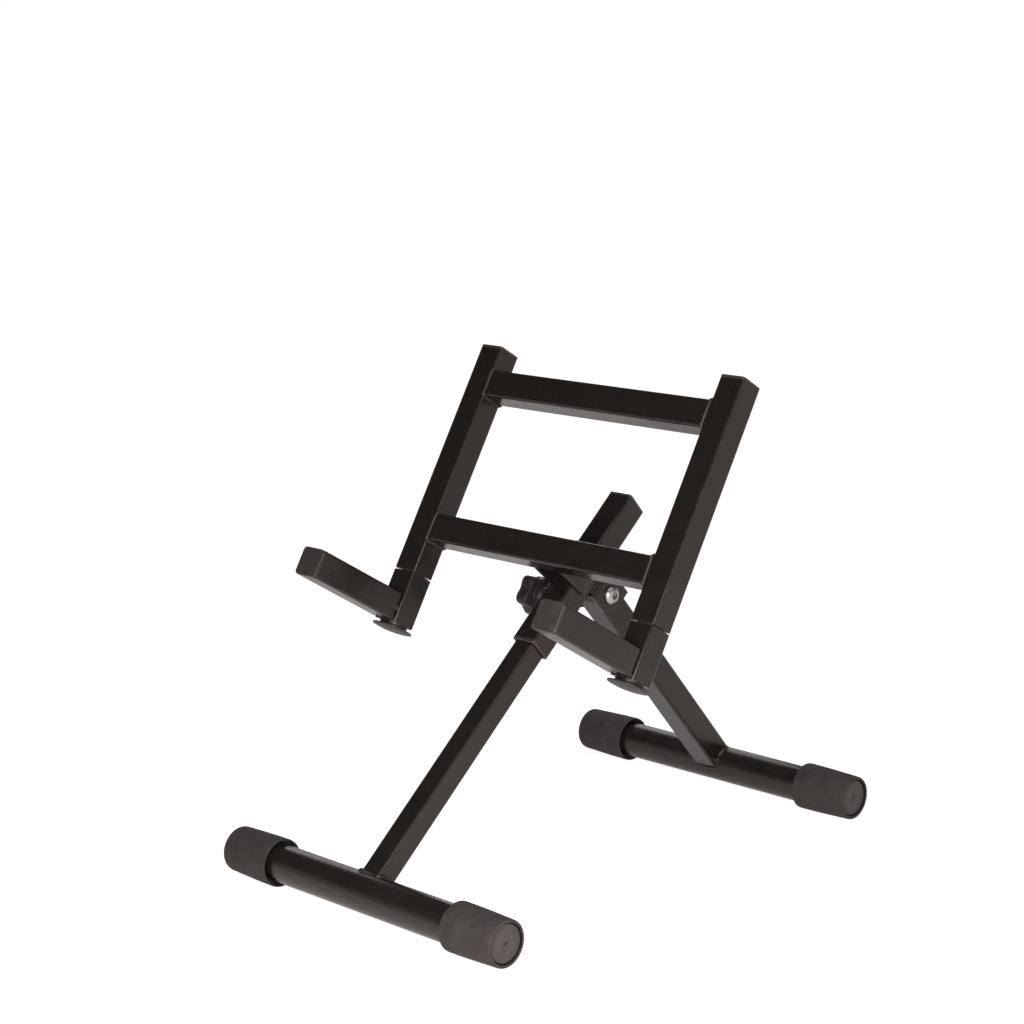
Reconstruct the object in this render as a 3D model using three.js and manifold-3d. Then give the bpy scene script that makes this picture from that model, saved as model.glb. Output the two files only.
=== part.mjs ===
// A folding amp stand: two T-shaped legs on round rubber-capped feet carry a tilted
// back frame with two swivelling support arms. Millimetres, +Z up, +Y to the back,
// X across. The origin is on the floor, midway between the feet and the two sides.
import * as THREE from 'three';
import { mergeVertices } from 'three/addons/utils/BufferGeometryUtils.js';
import Module from 'manifold-3d';

// Stance
const FOOT_SPACING = 440; // front foot axis to rear foot axis
const FRONT_LEG_ANGLE = 40; // degrees above the floor
const BACK_TILT = 32; // degrees that the back frame leans back
const ARM_AHEAD = 109.2; // arms' top rear corner, in front of the fold pivot
const ARM_DROP = 1.2; // the same corner, below the fold pivot

// Tubes
const TUBE = 25; // outer width of the large square tubes
const TUBE_WALL = 1.2;
const TUBE_CORNER = 2.5;
const INNER_TUBE = 20; // outer width of the telescoping leg
const INNER_CORNER = 2;

// Feet
const FOOT_RADIUS = 16;
const FOOT_WALL = 1.5;
const FOOT_LENGTH = 314; // over the rubber caps
const CAP_LENGTH = 54;
const CAP_END = 5; // rubber beyond the tube's end
const CAP_MOUTH_RADIUS = 20.5; // the barrel's widest, near the mouth
const CAP_END_RADIUS = 19.2;
const CAP_SHOULDER = 1.5; // length of the bevelled mouth
const CAP_LIP = 1; // rubber's thickness at the mouth
const CAP_MOUTH_GAP = 3.2; // between flared mouth and tube
const CAP_MOUTH_DEPTH = 9;
const CAP_DISC_RADIUS = 15.4; // disc in the end face
const CAP_DISC_DROP = 1.4; // disc below the rim
const CAP_GROOVE = 1.2; // width of the groove round the disc
const CAP_GROOVE_DEPTH = 2.8;
const CAP_RIM_ROUND = 1.6;

// Telescoping leg
const COLLAR_DROP = 85.6; // the bush's lip to the fold pivot, along the leg
const BUSH_LIP = 3;
const BUSH_DEPTH = 24;
const INNER_OVERLAP = 95; // inner leg inside the outer tube
const OUTER_LENGTH = 158;
const TOP_PLUG_DEPTH = 8;
const HEIGHT_CLAMP_UP = 50; // clamp screw above the tube's lower end

// Fold pivot
const PLATE = 3; // bracket and gusset plate
const PIVOT_BOLT_RADIUS = 4;
const SLEEVE_RADIUS = 6;
const WASHER = 1; // nylon washer's thickness
const WASHER_RADIUS = 11;
const BOLT_HEAD = 5;
const BOLT_HEAD_RADIUS = 8;
const BOLT_CROWN = 1.5; // each step of the head's rounding
const BOLT_IN_KNOB = 8; // bolt beyond the knob's hub
const NOSE_CLEARANCE = 0.8; // rounded leg end to bracket web

// Back frame
const ARM_SPACING = 274; // arm axis to arm axis
const UPRIGHT_START = 22.3; // above the arms' top face, along the frame
const UPRIGHT_LENGTH = 213;
const LOWER_BAR_UP = 30; // crossbar above the upright's lower end
const UPPER_BAR_DOWN = 20; // crossbar below the upright's top
const GUSSET_BELOW = 6; // gusset below and above the lower crossbar
const GUSSET_ABOVE = 16;
const GUSSET_PAST_AXIS = 4.2; // gusset beyond the leg's axis
const GUSSET_EDGE = 2; // gusset's upper corner short of the leg's front face
const CAP_FLANGE = 2.5;
const PLUG_DEPTH = 14;
const PLUG_WALL = 2;
const INSERT_LENGTH = 26; // threaded insert in the upright
const INSERT_WEB = 2; // solid end of the insert above the stud

// Arms
const ARM_REACH = 106.1; // front of the end plug to the swivel post's front face
const ARM_PLUG_CORNER = 3.5;
const ARM_GAP = 4; // between arm and swivel post
const JOINT_SILL_HEIGHT = 4; // closed part of that gap
const JOINT_SILL_INSET = 1; // sill short of the tube's sides
const JOINT_UP = 0.5; // joint plate above the tube's underside
const JOINT_TONGUE = 13; // width of the plate inside the gap
const JOINT_TONGUE_DROP = 2; // tongue below the arm's top
const STUD_RADIUS = 5;
const SWIVEL_WASHER = 0.9;
const CLAMP_WASHER_RADIUS = 12.5;
const CLAMP_WASHER = 1.6;
const KNOB_NECK_RADIUS = 11.5;
const KNOB_NECK = 1.8;
const KNOB_FLANGE_RADIUS = 18;
const KNOB_RIM = 1.2; // flange's thickness at its rim
const KNOB_DOME = 2; // flange's domed underside
const KNOB_DOME_EDGE = 1.4; // its depth below the neck's edge
const KNOB_ROUND = 0.6;

// Hand knobs of the pivot and of the height clamp
const STAR_RADIUS = 18;
const STAR_LOBES = 5;
const STAR_LOBE_DEPTH = 4.3;
const STAR_LOBE_STEPS = 6; // outline points for each lobe
const STAR_DEPTH = 12;
const STAR_HUB_RADIUS = 8;
const STAR_HUB = 5;
const HEIGHT_SCREW_RADIUS = 3;
const BOSS_RADIUS = 8;
const BOSS_LENGTH = 8;

const GAP = 0.2; // between pieces welded or seated on each other
const RUN = 0.4; // radial clearance of holes round bolts and studs
const SINK = 1; // one solid reaches into another where they are joined
const SIDES = 20; // small round pieces
const FOOT_SIDES = 24; // a multiple of 4, so that the caps touch the floor along a vertex
const DEGREE = Math.PI / 180;

const FOOT_HEIGHT = CAP_MOUTH_RADIUS; // the caps' mouths stand on the floor
const HALF = TUBE / 2;
const INNER_HALF = INNER_TUBE / 2;
const BORE = TUBE - 2 * TUBE_WALL;
const BORE_CORNER = TUBE_CORNER - TUBE_WALL;
const INNER_BORE = INNER_TUBE - 2 * TUBE_WALL;
const INNER_BORE_CORNER = INNER_CORNER - TUBE_WALL;
const BORE_FIT = BORE - 2 * GAP; // width of what seats in a large tube

// The fold pivot, up the front leg and behind its axis. The rear leg stands square to the
// front leg, so the triangle of the two feet and the pivot's level fixes both.
const PIVOT_Z = FOOT_SPACING * Math.cos(FRONT_LEG_ANGLE * DEGREE);
const PIVOT_Y = HALF + GAP + PLATE + NOSE_CLEARANCE + HALF;
const REAR_LEG_LENGTH = FOOT_SPACING * Math.sin(FRONT_LEG_ANGLE * DEGREE) - PIVOT_Y;
const COLLAR_START = PIVOT_Z - COLLAR_DROP;

const wasm = await Module();
wasm.setup();

// ---------- materials ----------
const finish = (color, roughness, metalness) =>
  new THREE.MeshStandardMaterial({ color, roughness, metalness });
const paint = () => finish(0x1c1917, 0.42, 0.3);
const rubber = () => finish(0x3b3735, 0.85, 0);
const plastic = () => finish(0x36322f, 0.6, 0);
const nylon = () => finish(0xd8d4cc, 0.5, 0);
const zinc = () => finish(0xa8a8a6, 0.35, 0.9);

// ---------- geometry helpers ----------
function volumeOf(geometry) {
  const p = geometry.attributes.position;
  const index = geometry.index;
  const count = index ? index.count : p.count;
  const corner = [new THREE.Vector3(), new THREE.Vector3(), new THREE.Vector3()];
  let sum = 0;
  for (let i = 0; i < count; i += 3) {
    corner.forEach((v, k) => v.fromBufferAttribute(p, index ? index.getX(i + k) : i + k));
    sum += corner[0].dot(corner[1].cross(corner[2]));
  }
  return sum / 6;
}

// Shared vertices merged, flat triangles dropped and every face pointing out.
function tidy(geometry) {
  const bare = geometry.clone();
  bare.deleteAttribute('normal');
  bare.deleteAttribute('uv');
  const merged = mergeVertices(bare, 1e-4);
  const flip = volumeOf(merged) < 0;
  const kept = [];
  const list = merged.index.array;
  for (let i = 0; i < list.length; i += 3) {
    const [a, b, c] = [list[i], list[i + 1], list[i + 2]];
    if (a !== b && b !== c && a !== c) kept.push(a, ...(flip ? [c, b] : [b, c]));
  }
  merged.setIndex(kept);
  return merged;
}

function solidOf(geometry) {
  const g = tidy(geometry);
  return new wasm.Manifold(new wasm.Mesh({
    numProp: 3,
    vertProperties: new Float32Array(g.attributes.position.array),
    triVerts: new Uint32Array(g.index.array),
  }));
}

function geometryOf(solid) {
  const mesh = solid.getMesh();
  const g = new THREE.BufferGeometry();
  g.setAttribute('position', new THREE.BufferAttribute(new Float32Array(mesh.vertProperties), 3));
  g.setIndex(new THREE.BufferAttribute(new Uint32Array(mesh.triVerts), 1));
  return g;
}

const cut = (geometry, ...tools) =>
  geometryOf(tools.reduce((solid, tool) => solid.subtract(solidOf(tool)), solidOf(geometry)));
const join = (geometry, ...others) =>
  geometryOf(others.reduce((solid, other) => solid.add(solidOf(other)), solidOf(geometry)));

// A rounded square outline centred on the origin.
function roundedSquare(size, corner, Kind = THREE.Shape) {
  const h = size / 2;
  const k = h - corner;
  const s = new Kind();
  s.moveTo(h, -k);
  s.lineTo(h, k);
  s.absarc(k, k, corner, 0, Math.PI / 2);
  s.lineTo(-k, h);
  s.absarc(-k, k, corner, Math.PI / 2, Math.PI);
  s.lineTo(-h, -k);
  s.absarc(-k, -k, corner, Math.PI, Math.PI * 1.5);
  s.lineTo(k, -h);
  s.absarc(k, -k, corner, Math.PI * 1.5, Math.PI * 2);
  return s;
}

const extrude = (shape, depth) =>
  new THREE.ExtrudeGeometry(shape, { depth, bevelEnabled: false, curveSegments: 2, steps: 1 });

// Square bar along +Z from z = 0, and the same with a square bore.
const squareBar = (size, corner, length) => extrude(roundedSquare(size, corner), length);
function squareTube(size, corner, bore, boreCorner, length) {
  const shape = roundedSquare(size, corner);
  shape.holes.push(roundedSquare(bore, boreCorner, THREE.Path));
  return extrude(shape, length);
}
const largeTube = (length) => squareTube(TUBE, TUBE_CORNER, BORE, BORE_CORNER, length);

// A turned piece from [radius, height] points, along +Z.
function turned(points, sides = SIDES) {
  const profile = points.map(([r, h]) => new THREE.Vector2(r, h));
  return tidy(new THREE.LatheGeometry(profile, sides)).rotateX(Math.PI / 2);
}

const rod = (radius, from, to, sides) =>
  turned([[0, from], [radius, from], [radius, to], [0, to]], sides);
const ring = (inner, outer, from, to, sides) =>
  turned([[inner, from], [outer, from], [outer, to], [inner, to], [inner, from]], sides);

// Turns a piece made along +Z so that it lies along +X or -X.
const alongX = (geometry, sign = 1) => geometry.rotateY((sign * Math.PI) / 2);

function box(x0, x1, y0, y1, z0, z1) {
  const g = new THREE.BoxGeometry(x1 - x0, y1 - y0, z1 - z0);
  return g.translate((x0 + x1) / 2, (y0 + y1) / 2, (z0 + z1) / 2);
}

// A plate across X: the outline's x is the plate's y and its y is the plate's z.
const plateAcross = (outline) => extrude(outline, PLATE).rotateY(Math.PI / 2).rotateX(Math.PI / 2);

function add(group, name, geometry, material, x = 0, y = 0, z = 0) {
  const mesh = new THREE.Mesh(geometry, material);
  mesh.name = name;
  mesh.position.set(x, y, z);
  group.add(mesh);
  return mesh;
}

// A star knob along +Z: a round hub from z = 0, then the lobed head.
function starKnob() {
  const head = new THREE.Shape();
  const steps = STAR_LOBES * STAR_LOBE_STEPS;
  for (let i = 0; i < steps; i += 1) {
    const a = (i / steps) * 2 * Math.PI;
    const r = STAR_RADIUS - (STAR_LOBE_DEPTH * (1 - Math.cos(STAR_LOBES * a))) / 2;
    const p = [r * Math.cos(a), r * Math.sin(a)];
    if (i === 0) head.moveTo(...p);
    else head.lineTo(...p);
  }
  head.closePath();
  return join(
    extrude(head, STAR_DEPTH).translate(0, 0, STAR_HUB),
    rod(STAR_HUB_RADIUS, 0, STAR_HUB + SINK),
  );
}

// A plug's hollow body below z = 0, for a bore of the given width.
function plugBody(bore, corner, depth) {
  const width = bore - 2 * GAP;
  const hollow = width - 2 * PLUG_WALL;
  return squareTube(width, corner, hollow, corner / 2, depth + SINK).translate(0, 0, -depth);
}

// A plug for a large tube's end: its body and a flange as wide as the tube.
const tubePlug = (corner, depth) =>
  join(squareBar(TUBE, corner, CAP_FLANGE), plugBody(BORE, BORE_CORNER, depth));

// ---------- feet ----------
function capProfile() {
  const bore = FOOT_RADIUS + GAP / 2;
  const flare = FOOT_RADIUS + CAP_MOUTH_GAP;
  const end = CAP_LENGTH;
  const groove = CAP_DISC_RADIUS + CAP_GROOVE;
  return [
    [0, end - CAP_DISC_DROP],
    [CAP_DISC_RADIUS, end - CAP_DISC_DROP],
    [CAP_DISC_RADIUS, end - CAP_GROOVE_DEPTH],
    [groove, end - CAP_GROOVE_DEPTH],
    [groove, end],
    [CAP_END_RADIUS - CAP_RIM_ROUND, end],
    [CAP_END_RADIUS, end - CAP_RIM_ROUND],
    [CAP_MOUTH_RADIUS, CAP_SHOULDER],
    [flare + CAP_LIP, 0],
    [flare, 0],
    [flare, CAP_MOUTH_DEPTH],
    [bore, CAP_MOUTH_DEPTH + CAP_MOUTH_GAP],
    [bore, end - CAP_END],
    [0, end - CAP_END],
  ];
}

function foot(group, prefix) {
  const half = FOOT_LENGTH / 2 - CAP_END - GAP;
  const tube = alongX(ring(FOOT_RADIUS - FOOT_WALL, FOOT_RADIUS, -half, half, FOOT_SIDES));
  add(group, `${prefix}_foot_tube`, tube, paint());
  for (const [side, sign] of [['left', -1], ['right', 1]]) {
    const cap = alongX(turned(capProfile(), FOOT_SIDES), sign);
    add(group, `${prefix}_foot_cap_${side}`, cap, rubber(), sign * (FOOT_LENGTH / 2 - CAP_LENGTH));
  }
}

// A leg's lower end is shaped to sit on the foot tube.
const footCope = () => alongX(rod(FOOT_RADIUS + GAP, -TUBE, TUBE, FOOT_SIDES));

// ---------- frames ----------
const stand = new THREE.Group();

function frameAt(y, z, degrees) {
  const group = new THREE.Group();
  group.position.set(0, y, z);
  group.rotation.x = degrees * DEGREE;
  stand.add(group);
  return group;
}

// A point of the front leg's frame, in the stand's y and z.
function fromFrontLeg(y, z) {
  const c = Math.cos(FRONT_LEG_ANGLE * DEGREE);
  const s = Math.sin(FRONT_LEG_ANGLE * DEGREE);
  return [-FOOT_SPACING / 2 + y * s + z * c, FOOT_HEIGHT - y * c + z * s];
}
const [pivotBack, pivotUp] = fromFrontLeg(PIVOT_Y, PIVOT_Z);
const CORNER_Y = pivotBack - ARM_AHEAD;
const CORNER_Z = pivotUp - ARM_DROP;

const frontFoot = frameAt(-FOOT_SPACING / 2, FOOT_HEIGHT, 0);
const rearFoot = frameAt(FOOT_SPACING / 2, FOOT_HEIGHT, 0);
// Along the front leg: z up the leg, y towards the rear foot.
const frontLeg = frameAt(-FOOT_SPACING / 2, FOOT_HEIGHT, FRONT_LEG_ANGLE - 90);
// Along the rear leg: z up the leg.
const rearLeg = frameAt(FOOT_SPACING / 2, FOOT_HEIGHT, FRONT_LEG_ANGLE);
// Along the back frame: z up the frame, y square to it, towards the back.
const backFrame = frameAt(CORNER_Y, CORNER_Z, -BACK_TILT);

// ---------- front leg ----------
const OUTER_START = COLLAR_START + BUSH_LIP;
const OUTER_END = OUTER_START + OUTER_LENGTH;
const INNER_TOP = OUTER_START + INNER_OVERLAP;

foot(frontFoot, 'front');
add(frontLeg, 'inner_leg_tube',
  cut(squareTube(INNER_TUBE, INNER_CORNER, INNER_BORE, INNER_BORE_CORNER, INNER_TOP), footCope()),
  paint());
add(frontLeg, 'inner_leg_glide',
  join(squareBar(BORE_FIT, BORE_CORNER, CAP_FLANGE),
    plugBody(INNER_BORE, INNER_BORE_CORNER, PLUG_DEPTH)),
  nylon(), 0, 0, INNER_TOP + GAP);

// ---------- outer leg tube ----------
const screwHole = alongX(rod(HEIGHT_SCREW_RADIUS + RUN, 0, TUBE), -1)
  .translate(0, 0, HEIGHT_CLAMP_UP);
add(frontLeg, 'outer_leg_tube', cut(largeTube(OUTER_LENGTH), screwHole), paint(),
  0, 0, OUTER_START);

const bushLength = BUSH_LIP + BUSH_DEPTH;
const bushHole = squareBar(INNER_TUBE + 2 * GAP, INNER_CORNER, 3 * bushLength);
add(frontLeg, 'outer_leg_bush',
  cut(join(squareBar(TUBE, TUBE_CORNER, BUSH_LIP - GAP), squareBar(BORE_FIT, BORE_CORNER, bushLength)),
    bushHole.translate(0, 0, -bushLength)),
  plastic(), 0, 0, COLLAR_START);
add(frontLeg, 'outer_leg_plug', tubePlug(TUBE_CORNER, TOP_PLUG_DEPTH), plastic(),
  0, 0, OUTER_END + GAP);

// Height clamp on the tube's left side: a welded nut boss and a knob with its screw.
const CLAMP_Z = OUTER_START + HEIGHT_CLAMP_UP;
add(frontLeg, 'height_clamp_boss',
  alongX(ring(HEIGHT_SCREW_RADIUS + RUN, BOSS_RADIUS, 0, BOSS_LENGTH), -1),
  zinc(), -HALF - GAP, 0, CLAMP_Z);
const knobBase = HALF + BOSS_LENGTH + 2 * GAP;
const screwTip = INNER_HALF + GAP - knobBase; // the screw ends a gap short of the inner leg
add(frontLeg, 'height_clamp_knob',
  alongX(join(starKnob(), rod(HEIGHT_SCREW_RADIUS, screwTip, SINK)), -1),
  plastic(), -knobBase, 0, CLAMP_Z);

// ---------- fold pivot ----------
const EAR_IN = HALF + WASHER + 2 * GAP; // inner face of each ear
const EAR_OUT = EAR_IN + PLATE;
const EAR_RADIUS = HALF + PLATE + GAP;

function foldBracket() {
  const y0 = HALF + GAP - PIVOT_Y;
  const side = new THREE.Shape();
  side.moveTo(y0, -EAR_RADIUS);
  side.lineTo(0, -EAR_RADIUS);
  side.absarc(0, 0, EAR_RADIUS, -Math.PI / 2, 0);
  side.lineTo(EAR_RADIUS, EAR_RADIUS);
  side.lineTo(y0, EAR_RADIUS);
  side.closePath();
  const ear = (x) => plateAcross(side).translate(x, 0, 0);
  const web = box(-EAR_OUT, EAR_OUT, y0, y0 + PLATE, -EAR_RADIUS, EAR_RADIUS);
  const stop = box(-EAR_OUT, EAR_OUT, y0, EAR_RADIUS, EAR_RADIUS - PLATE, EAR_RADIUS);
  const hole = alongX(rod(PIVOT_BOLT_RADIUS + RUN, -2 * EAR_OUT, 2 * EAR_OUT));
  return cut(join(web, stop, ear(EAR_IN), ear(-EAR_OUT)), hole);
}
add(frontLeg, 'fold_bracket', foldBracket(), paint(), 0, PIVOT_Y, PIVOT_Z);

const boltEnd = EAR_OUT + STAR_HUB + BOLT_IN_KNOB;
const boltHead = turned([
  [0, EAR_OUT + GAP],
  [BOLT_HEAD_RADIUS, EAR_OUT + GAP],
  [BOLT_HEAD_RADIUS, EAR_OUT + BOLT_HEAD - 2 * BOLT_CROWN],
  [BOLT_HEAD_RADIUS - BOLT_CROWN, EAR_OUT + BOLT_HEAD - BOLT_CROWN],
  [BOLT_HEAD_RADIUS - 3 * BOLT_CROWN, EAR_OUT + BOLT_HEAD],
  [0, EAR_OUT + BOLT_HEAD],
]);
const boltShank = rod(PIVOT_BOLT_RADIUS, -boltEnd, EAR_OUT + SINK);
add(frontLeg, 'pivot_bolt', alongX(join(boltHead, boltShank)), zinc(), 0, PIVOT_Y, PIVOT_Z);
const knobBore = rod(PIVOT_BOLT_RADIUS + GAP, -SINK, STAR_HUB + BOLT_IN_KNOB + RUN);
add(frontLeg, 'pivot_knob', alongX(cut(starKnob(), knobBore), -1), plastic(),
  -EAR_OUT - GAP, PIVOT_Y, PIVOT_Z);

// ---------- rear leg ----------
foot(rearFoot, 'rear');
function rearLegTube() {
  const tube = largeTube(REAR_LEG_LENGTH + HALF);
  const shaft = box(-TUBE, TUBE, -TUBE, TUBE, -SINK, REAR_LEG_LENGTH);
  const nose = alongX(rod(HALF, -TUBE, TUBE)).translate(0, 0, REAR_LEG_LENGTH);
  const outline = solidOf(join(shaft, nose));
  const sleeveHole = alongX(rod(SLEEVE_RADIUS + GAP / 2, -TUBE, TUBE))
    .translate(0, 0, REAR_LEG_LENGTH);
  return cut(geometryOf(solidOf(tube).intersect(outline)), footCope(), sleeveHole);
}
add(rearLeg, 'rear_leg_tube', rearLegTube(), paint());
add(rearLeg, 'pivot_sleeve', alongX(ring(PIVOT_BOLT_RADIUS + RUN, SLEEVE_RADIUS, -HALF, HALF)),
  zinc(), 0, 0, REAR_LEG_LENGTH);
for (const [side, sign] of [['left', -1], ['right', 1]]) {
  add(rearLeg, `pivot_washer_${side}`,
    alongX(ring(PIVOT_BOLT_RADIUS + RUN, WASHER_RADIUS, GAP, GAP + WASHER), sign),
    nylon(), sign * HALF, 0, REAR_LEG_LENGTH);
}

// ---------- back frame ----------
const UPRIGHT_X = ARM_SPACING / 2;
const POST_Y = HALF; // the swivel axes and uprights are half a tube behind the front face
const UPRIGHT_TOP = UPRIGHT_START + UPRIGHT_LENGTH;
const LOWER_BAR_Z = UPRIGHT_START + LOWER_BAR_UP + HALF;
const UPPER_BAR_Z = UPRIGHT_TOP - UPPER_BAR_DOWN - HALF;
const barLength = ARM_SPACING - TUBE - 2 * GAP;
for (const [name, z] of [['lower_crossbar', LOWER_BAR_Z], ['upper_crossbar', UPPER_BAR_Z]]) {
  const bar = largeTube(barLength).translate(0, 0, -barLength / 2);
  add(backFrame, name, alongX(bar), paint(), 0, POST_Y, z);
}

// Each gusset lies on one side of the outer leg tube and meets the lower crossbar.
function gusset() {
  const lean = (90 - FRONT_LEG_ANGLE - BACK_TILT) * DEGREE; // leg against frame
  const footY = -FOOT_SPACING / 2 - CORNER_Y;
  const footZ = FOOT_HEIGHT - CORNER_Z;
  const c = Math.cos(BACK_TILT * DEGREE);
  const s = Math.sin(BACK_TILT * DEGREE);
  const legY = footY * c - footZ * s; // the foot's axis in the back frame
  const legZ = footY * s + footZ * c;
  const axisY = (z) => legY + (z - legZ) * Math.tan(lean);
  const low = LOWER_BAR_Z - HALF;
  const high = LOWER_BAR_Z + HALF;
  const top = high + GUSSET_ABOVE;
  const bottom = low - GUSSET_BELOW;
  const plate = new THREE.Shape();
  plate.moveTo(TUBE + GAP, low);
  plate.lineTo(axisY(bottom) + GUSSET_PAST_AXIS, bottom);
  plate.lineTo(axisY(top) + GUSSET_PAST_AXIS, top);
  plate.lineTo(axisY(top) - HALF + GUSSET_EDGE, top);
  plate.lineTo(TUBE + GAP, high);
  plate.closePath();
  return plateAcross(plate);
}
add(backFrame, 'gusset_left', gusset(), paint(), -HALF - GAP - PLATE);
add(backFrame, 'gusset_right', gusset(), paint(), HALF + GAP);

// ---------- uprights and swivel arms ----------
const INSERT_TOP = UPRIGHT_START + INSERT_LENGTH;
const POST_TOP = UPRIGHT_START - SWIVEL_WASHER - 2 * GAP;
const CLAMP_WASHER_TOP = -TUBE - GAP;
const KNOB_TOP = CLAMP_WASHER_TOP - CLAMP_WASHER - GAP;
const STUD_LOW = KNOB_TOP - KNOB_NECK;
const KNOB_LOW = -KNOB_NECK - KNOB_RIM;

// A spool along -Z from its top: a neck, a thin flange and a domed underside.
const clampKnob = () => turned([
  [STUD_RADIUS + GAP, 0],
  [KNOB_NECK_RADIUS, 0],
  [KNOB_NECK_RADIUS, -KNOB_NECK],
  [KNOB_FLANGE_RADIUS - KNOB_ROUND, -KNOB_NECK],
  [KNOB_FLANGE_RADIUS, -KNOB_NECK - KNOB_ROUND],
  [KNOB_FLANGE_RADIUS, KNOB_LOW],
  [KNOB_NECK_RADIUS, KNOB_LOW - KNOB_DOME_EDGE],
  [0, KNOB_LOW - KNOB_DOME],
  [0, -KNOB_NECK - GAP],
  [STUD_RADIUS + GAP, -KNOB_NECK - GAP],
  [STUD_RADIUS + GAP, 0],
]);

function sidePieces(side, sign) {
  const x = sign * UPRIGHT_X;
  const at = (name, geometry, material, y = 0, z = 0) =>
    add(backFrame, `${name}_${side}`, geometry, material, x, y, z);

  at('upright', largeTube(UPRIGHT_LENGTH), paint(), POST_Y, UPRIGHT_START);
  at('upright_cap', tubePlug(TUBE_CORNER, PLUG_DEPTH), plastic(), POST_Y, UPRIGHT_TOP + GAP);
  at('upright_insert',
    cut(squareBar(BORE_FIT, BORE_CORNER, INSERT_LENGTH),
      rod(STUD_RADIUS + GAP, -SINK, INSERT_LENGTH + SINK)),
    zinc(), POST_Y, UPRIGHT_START);
  at('swivel_stud', rod(STUD_RADIUS, STUD_LOW, INSERT_TOP - INSERT_WEB), zinc(), POST_Y);

  // The arm: a tube on a short swivel post that turns on the stud.
  const armLength = ARM_REACH - CAP_FLANGE - GAP - ARM_GAP;
  at('arm_tube', largeTube(armLength).rotateX(Math.PI / 2), paint(), -ARM_GAP, -HALF);
  at('arm_plug', tubePlug(ARM_PLUG_CORNER, PLUG_DEPTH).rotateX(Math.PI / 2), plastic(),
    CAP_FLANGE - ARM_REACH, -HALF);
  const jointBottom = -TUBE + JOINT_UP;
  const sillHalf = HALF - JOINT_SILL_INSET;
  const sill = box(-sillHalf, sillHalf, GAP - ARM_GAP, -GAP, jointBottom, -TUBE + JOINT_SILL_HEIGHT);
  const tongue = box(-JOINT_TONGUE / 2, JOINT_TONGUE / 2, GAP - ARM_GAP, -GAP, jointBottom,
    -JOINT_TONGUE_DROP);
  at('arm_joint_plate', join(sill, tongue), paint());
  at('swivel_post', largeTube(TUBE + POST_TOP), paint(), POST_Y, -TUBE);
  const bush = () => cut(squareBar(BORE_FIT, BORE_CORNER, PLUG_DEPTH),
    rod(STUD_RADIUS + RUN, -SINK, PLUG_DEPTH + SINK));
  at('swivel_bush_low', bush(), nylon(), POST_Y, -TUBE);
  at('swivel_bush_top', bush(), nylon(), POST_Y, POST_TOP - PLUG_DEPTH);
  at('swivel_washer', ring(STUD_RADIUS + RUN, WASHER_RADIUS, 0, SWIVEL_WASHER), plastic(),
    POST_Y, POST_TOP + GAP);
  at('clamp_washer', ring(STUD_RADIUS + RUN, CLAMP_WASHER_RADIUS, -CLAMP_WASHER, 0), zinc(),
    POST_Y, CLAMP_WASHER_TOP);
  at('clamp_knob', clampKnob(), plastic(), POST_Y, KNOB_TOP);
}
sidePieces('left', -1);
sidePieces('right', 1);

export default stand;
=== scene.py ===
# A folding amp stand: rubber-capped foot tubes, square legs, a tilted back frame and two
# swivelling support arms. Sizes are in millimetres, in the frame of each assembly; meshes
# are in metres.
import math

import bmesh
import bpy
import numpy as np
from mathutils import Matrix, Vector


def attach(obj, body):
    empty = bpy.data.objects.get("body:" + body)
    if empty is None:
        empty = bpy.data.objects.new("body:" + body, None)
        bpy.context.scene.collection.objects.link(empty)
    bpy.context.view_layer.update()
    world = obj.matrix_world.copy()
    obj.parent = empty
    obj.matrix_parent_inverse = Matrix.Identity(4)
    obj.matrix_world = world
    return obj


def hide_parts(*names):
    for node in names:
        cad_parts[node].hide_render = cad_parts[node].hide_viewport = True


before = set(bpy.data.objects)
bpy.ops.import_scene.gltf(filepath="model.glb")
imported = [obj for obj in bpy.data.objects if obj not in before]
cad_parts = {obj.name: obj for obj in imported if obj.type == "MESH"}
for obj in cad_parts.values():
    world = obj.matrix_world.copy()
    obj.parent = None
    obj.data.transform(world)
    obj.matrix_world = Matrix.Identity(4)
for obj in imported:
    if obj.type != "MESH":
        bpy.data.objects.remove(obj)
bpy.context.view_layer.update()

MM = 0.001

# ---------- sizes shared with the part ----------
FOOT_SPACING = 440.0
FRONT_LEG_ANGLE = 40.0
BACK_TILT = 32.0
ARM_AHEAD = 109.2
ARM_DROP = 1.2
TUBE = 25.0
TUBE_WALL = 1.2
TUBE_CORNER = 2.5
INNER_TUBE = 20.0
INNER_CORNER = 2.0
FOOT_RADIUS = 16.0
FOOT_WALL = 1.5
FOOT_LENGTH = 314.0
CAP_LENGTH = 54.0
CAP_END = 5.0
CAP_MOUTH_RADIUS = 20.5
CAP_END_RADIUS = 19.2
CAP_SHOULDER = 1.5
CAP_LIP = 1.0
CAP_MOUTH_GAP = 3.2
CAP_MOUTH_DEPTH = 9.0
CAP_DISC_RADIUS = 15.4
CAP_DISC_DROP = 1.4
CAP_GROOVE = 1.2
CAP_GROOVE_DEPTH = 2.8
COLLAR_DROP = 85.6
BUSH_LIP = 3.0
BUSH_DEPTH = 24.0
INNER_OVERLAP = 95.0
OUTER_LENGTH = 158.0
TOP_PLUG_DEPTH = 8.0
HEIGHT_CLAMP_UP = 50.0
PLATE = 3.0
PIVOT_BOLT_RADIUS = 4.0
WASHER = 1.0
WASHER_RADIUS = 11.0
BOLT_HEAD = 5.0
BOLT_HEAD_RADIUS = 8.0
BOLT_IN_KNOB = 8.0
NOSE_CLEARANCE = 0.8
ARM_SPACING = 274.0
UPRIGHT_START = 22.3
UPRIGHT_LENGTH = 213.0
LOWER_BAR_UP = 30.0
UPPER_BAR_DOWN = 20.0
GUSSET_BELOW = 6.0
GUSSET_ABOVE = 16.0
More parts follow.
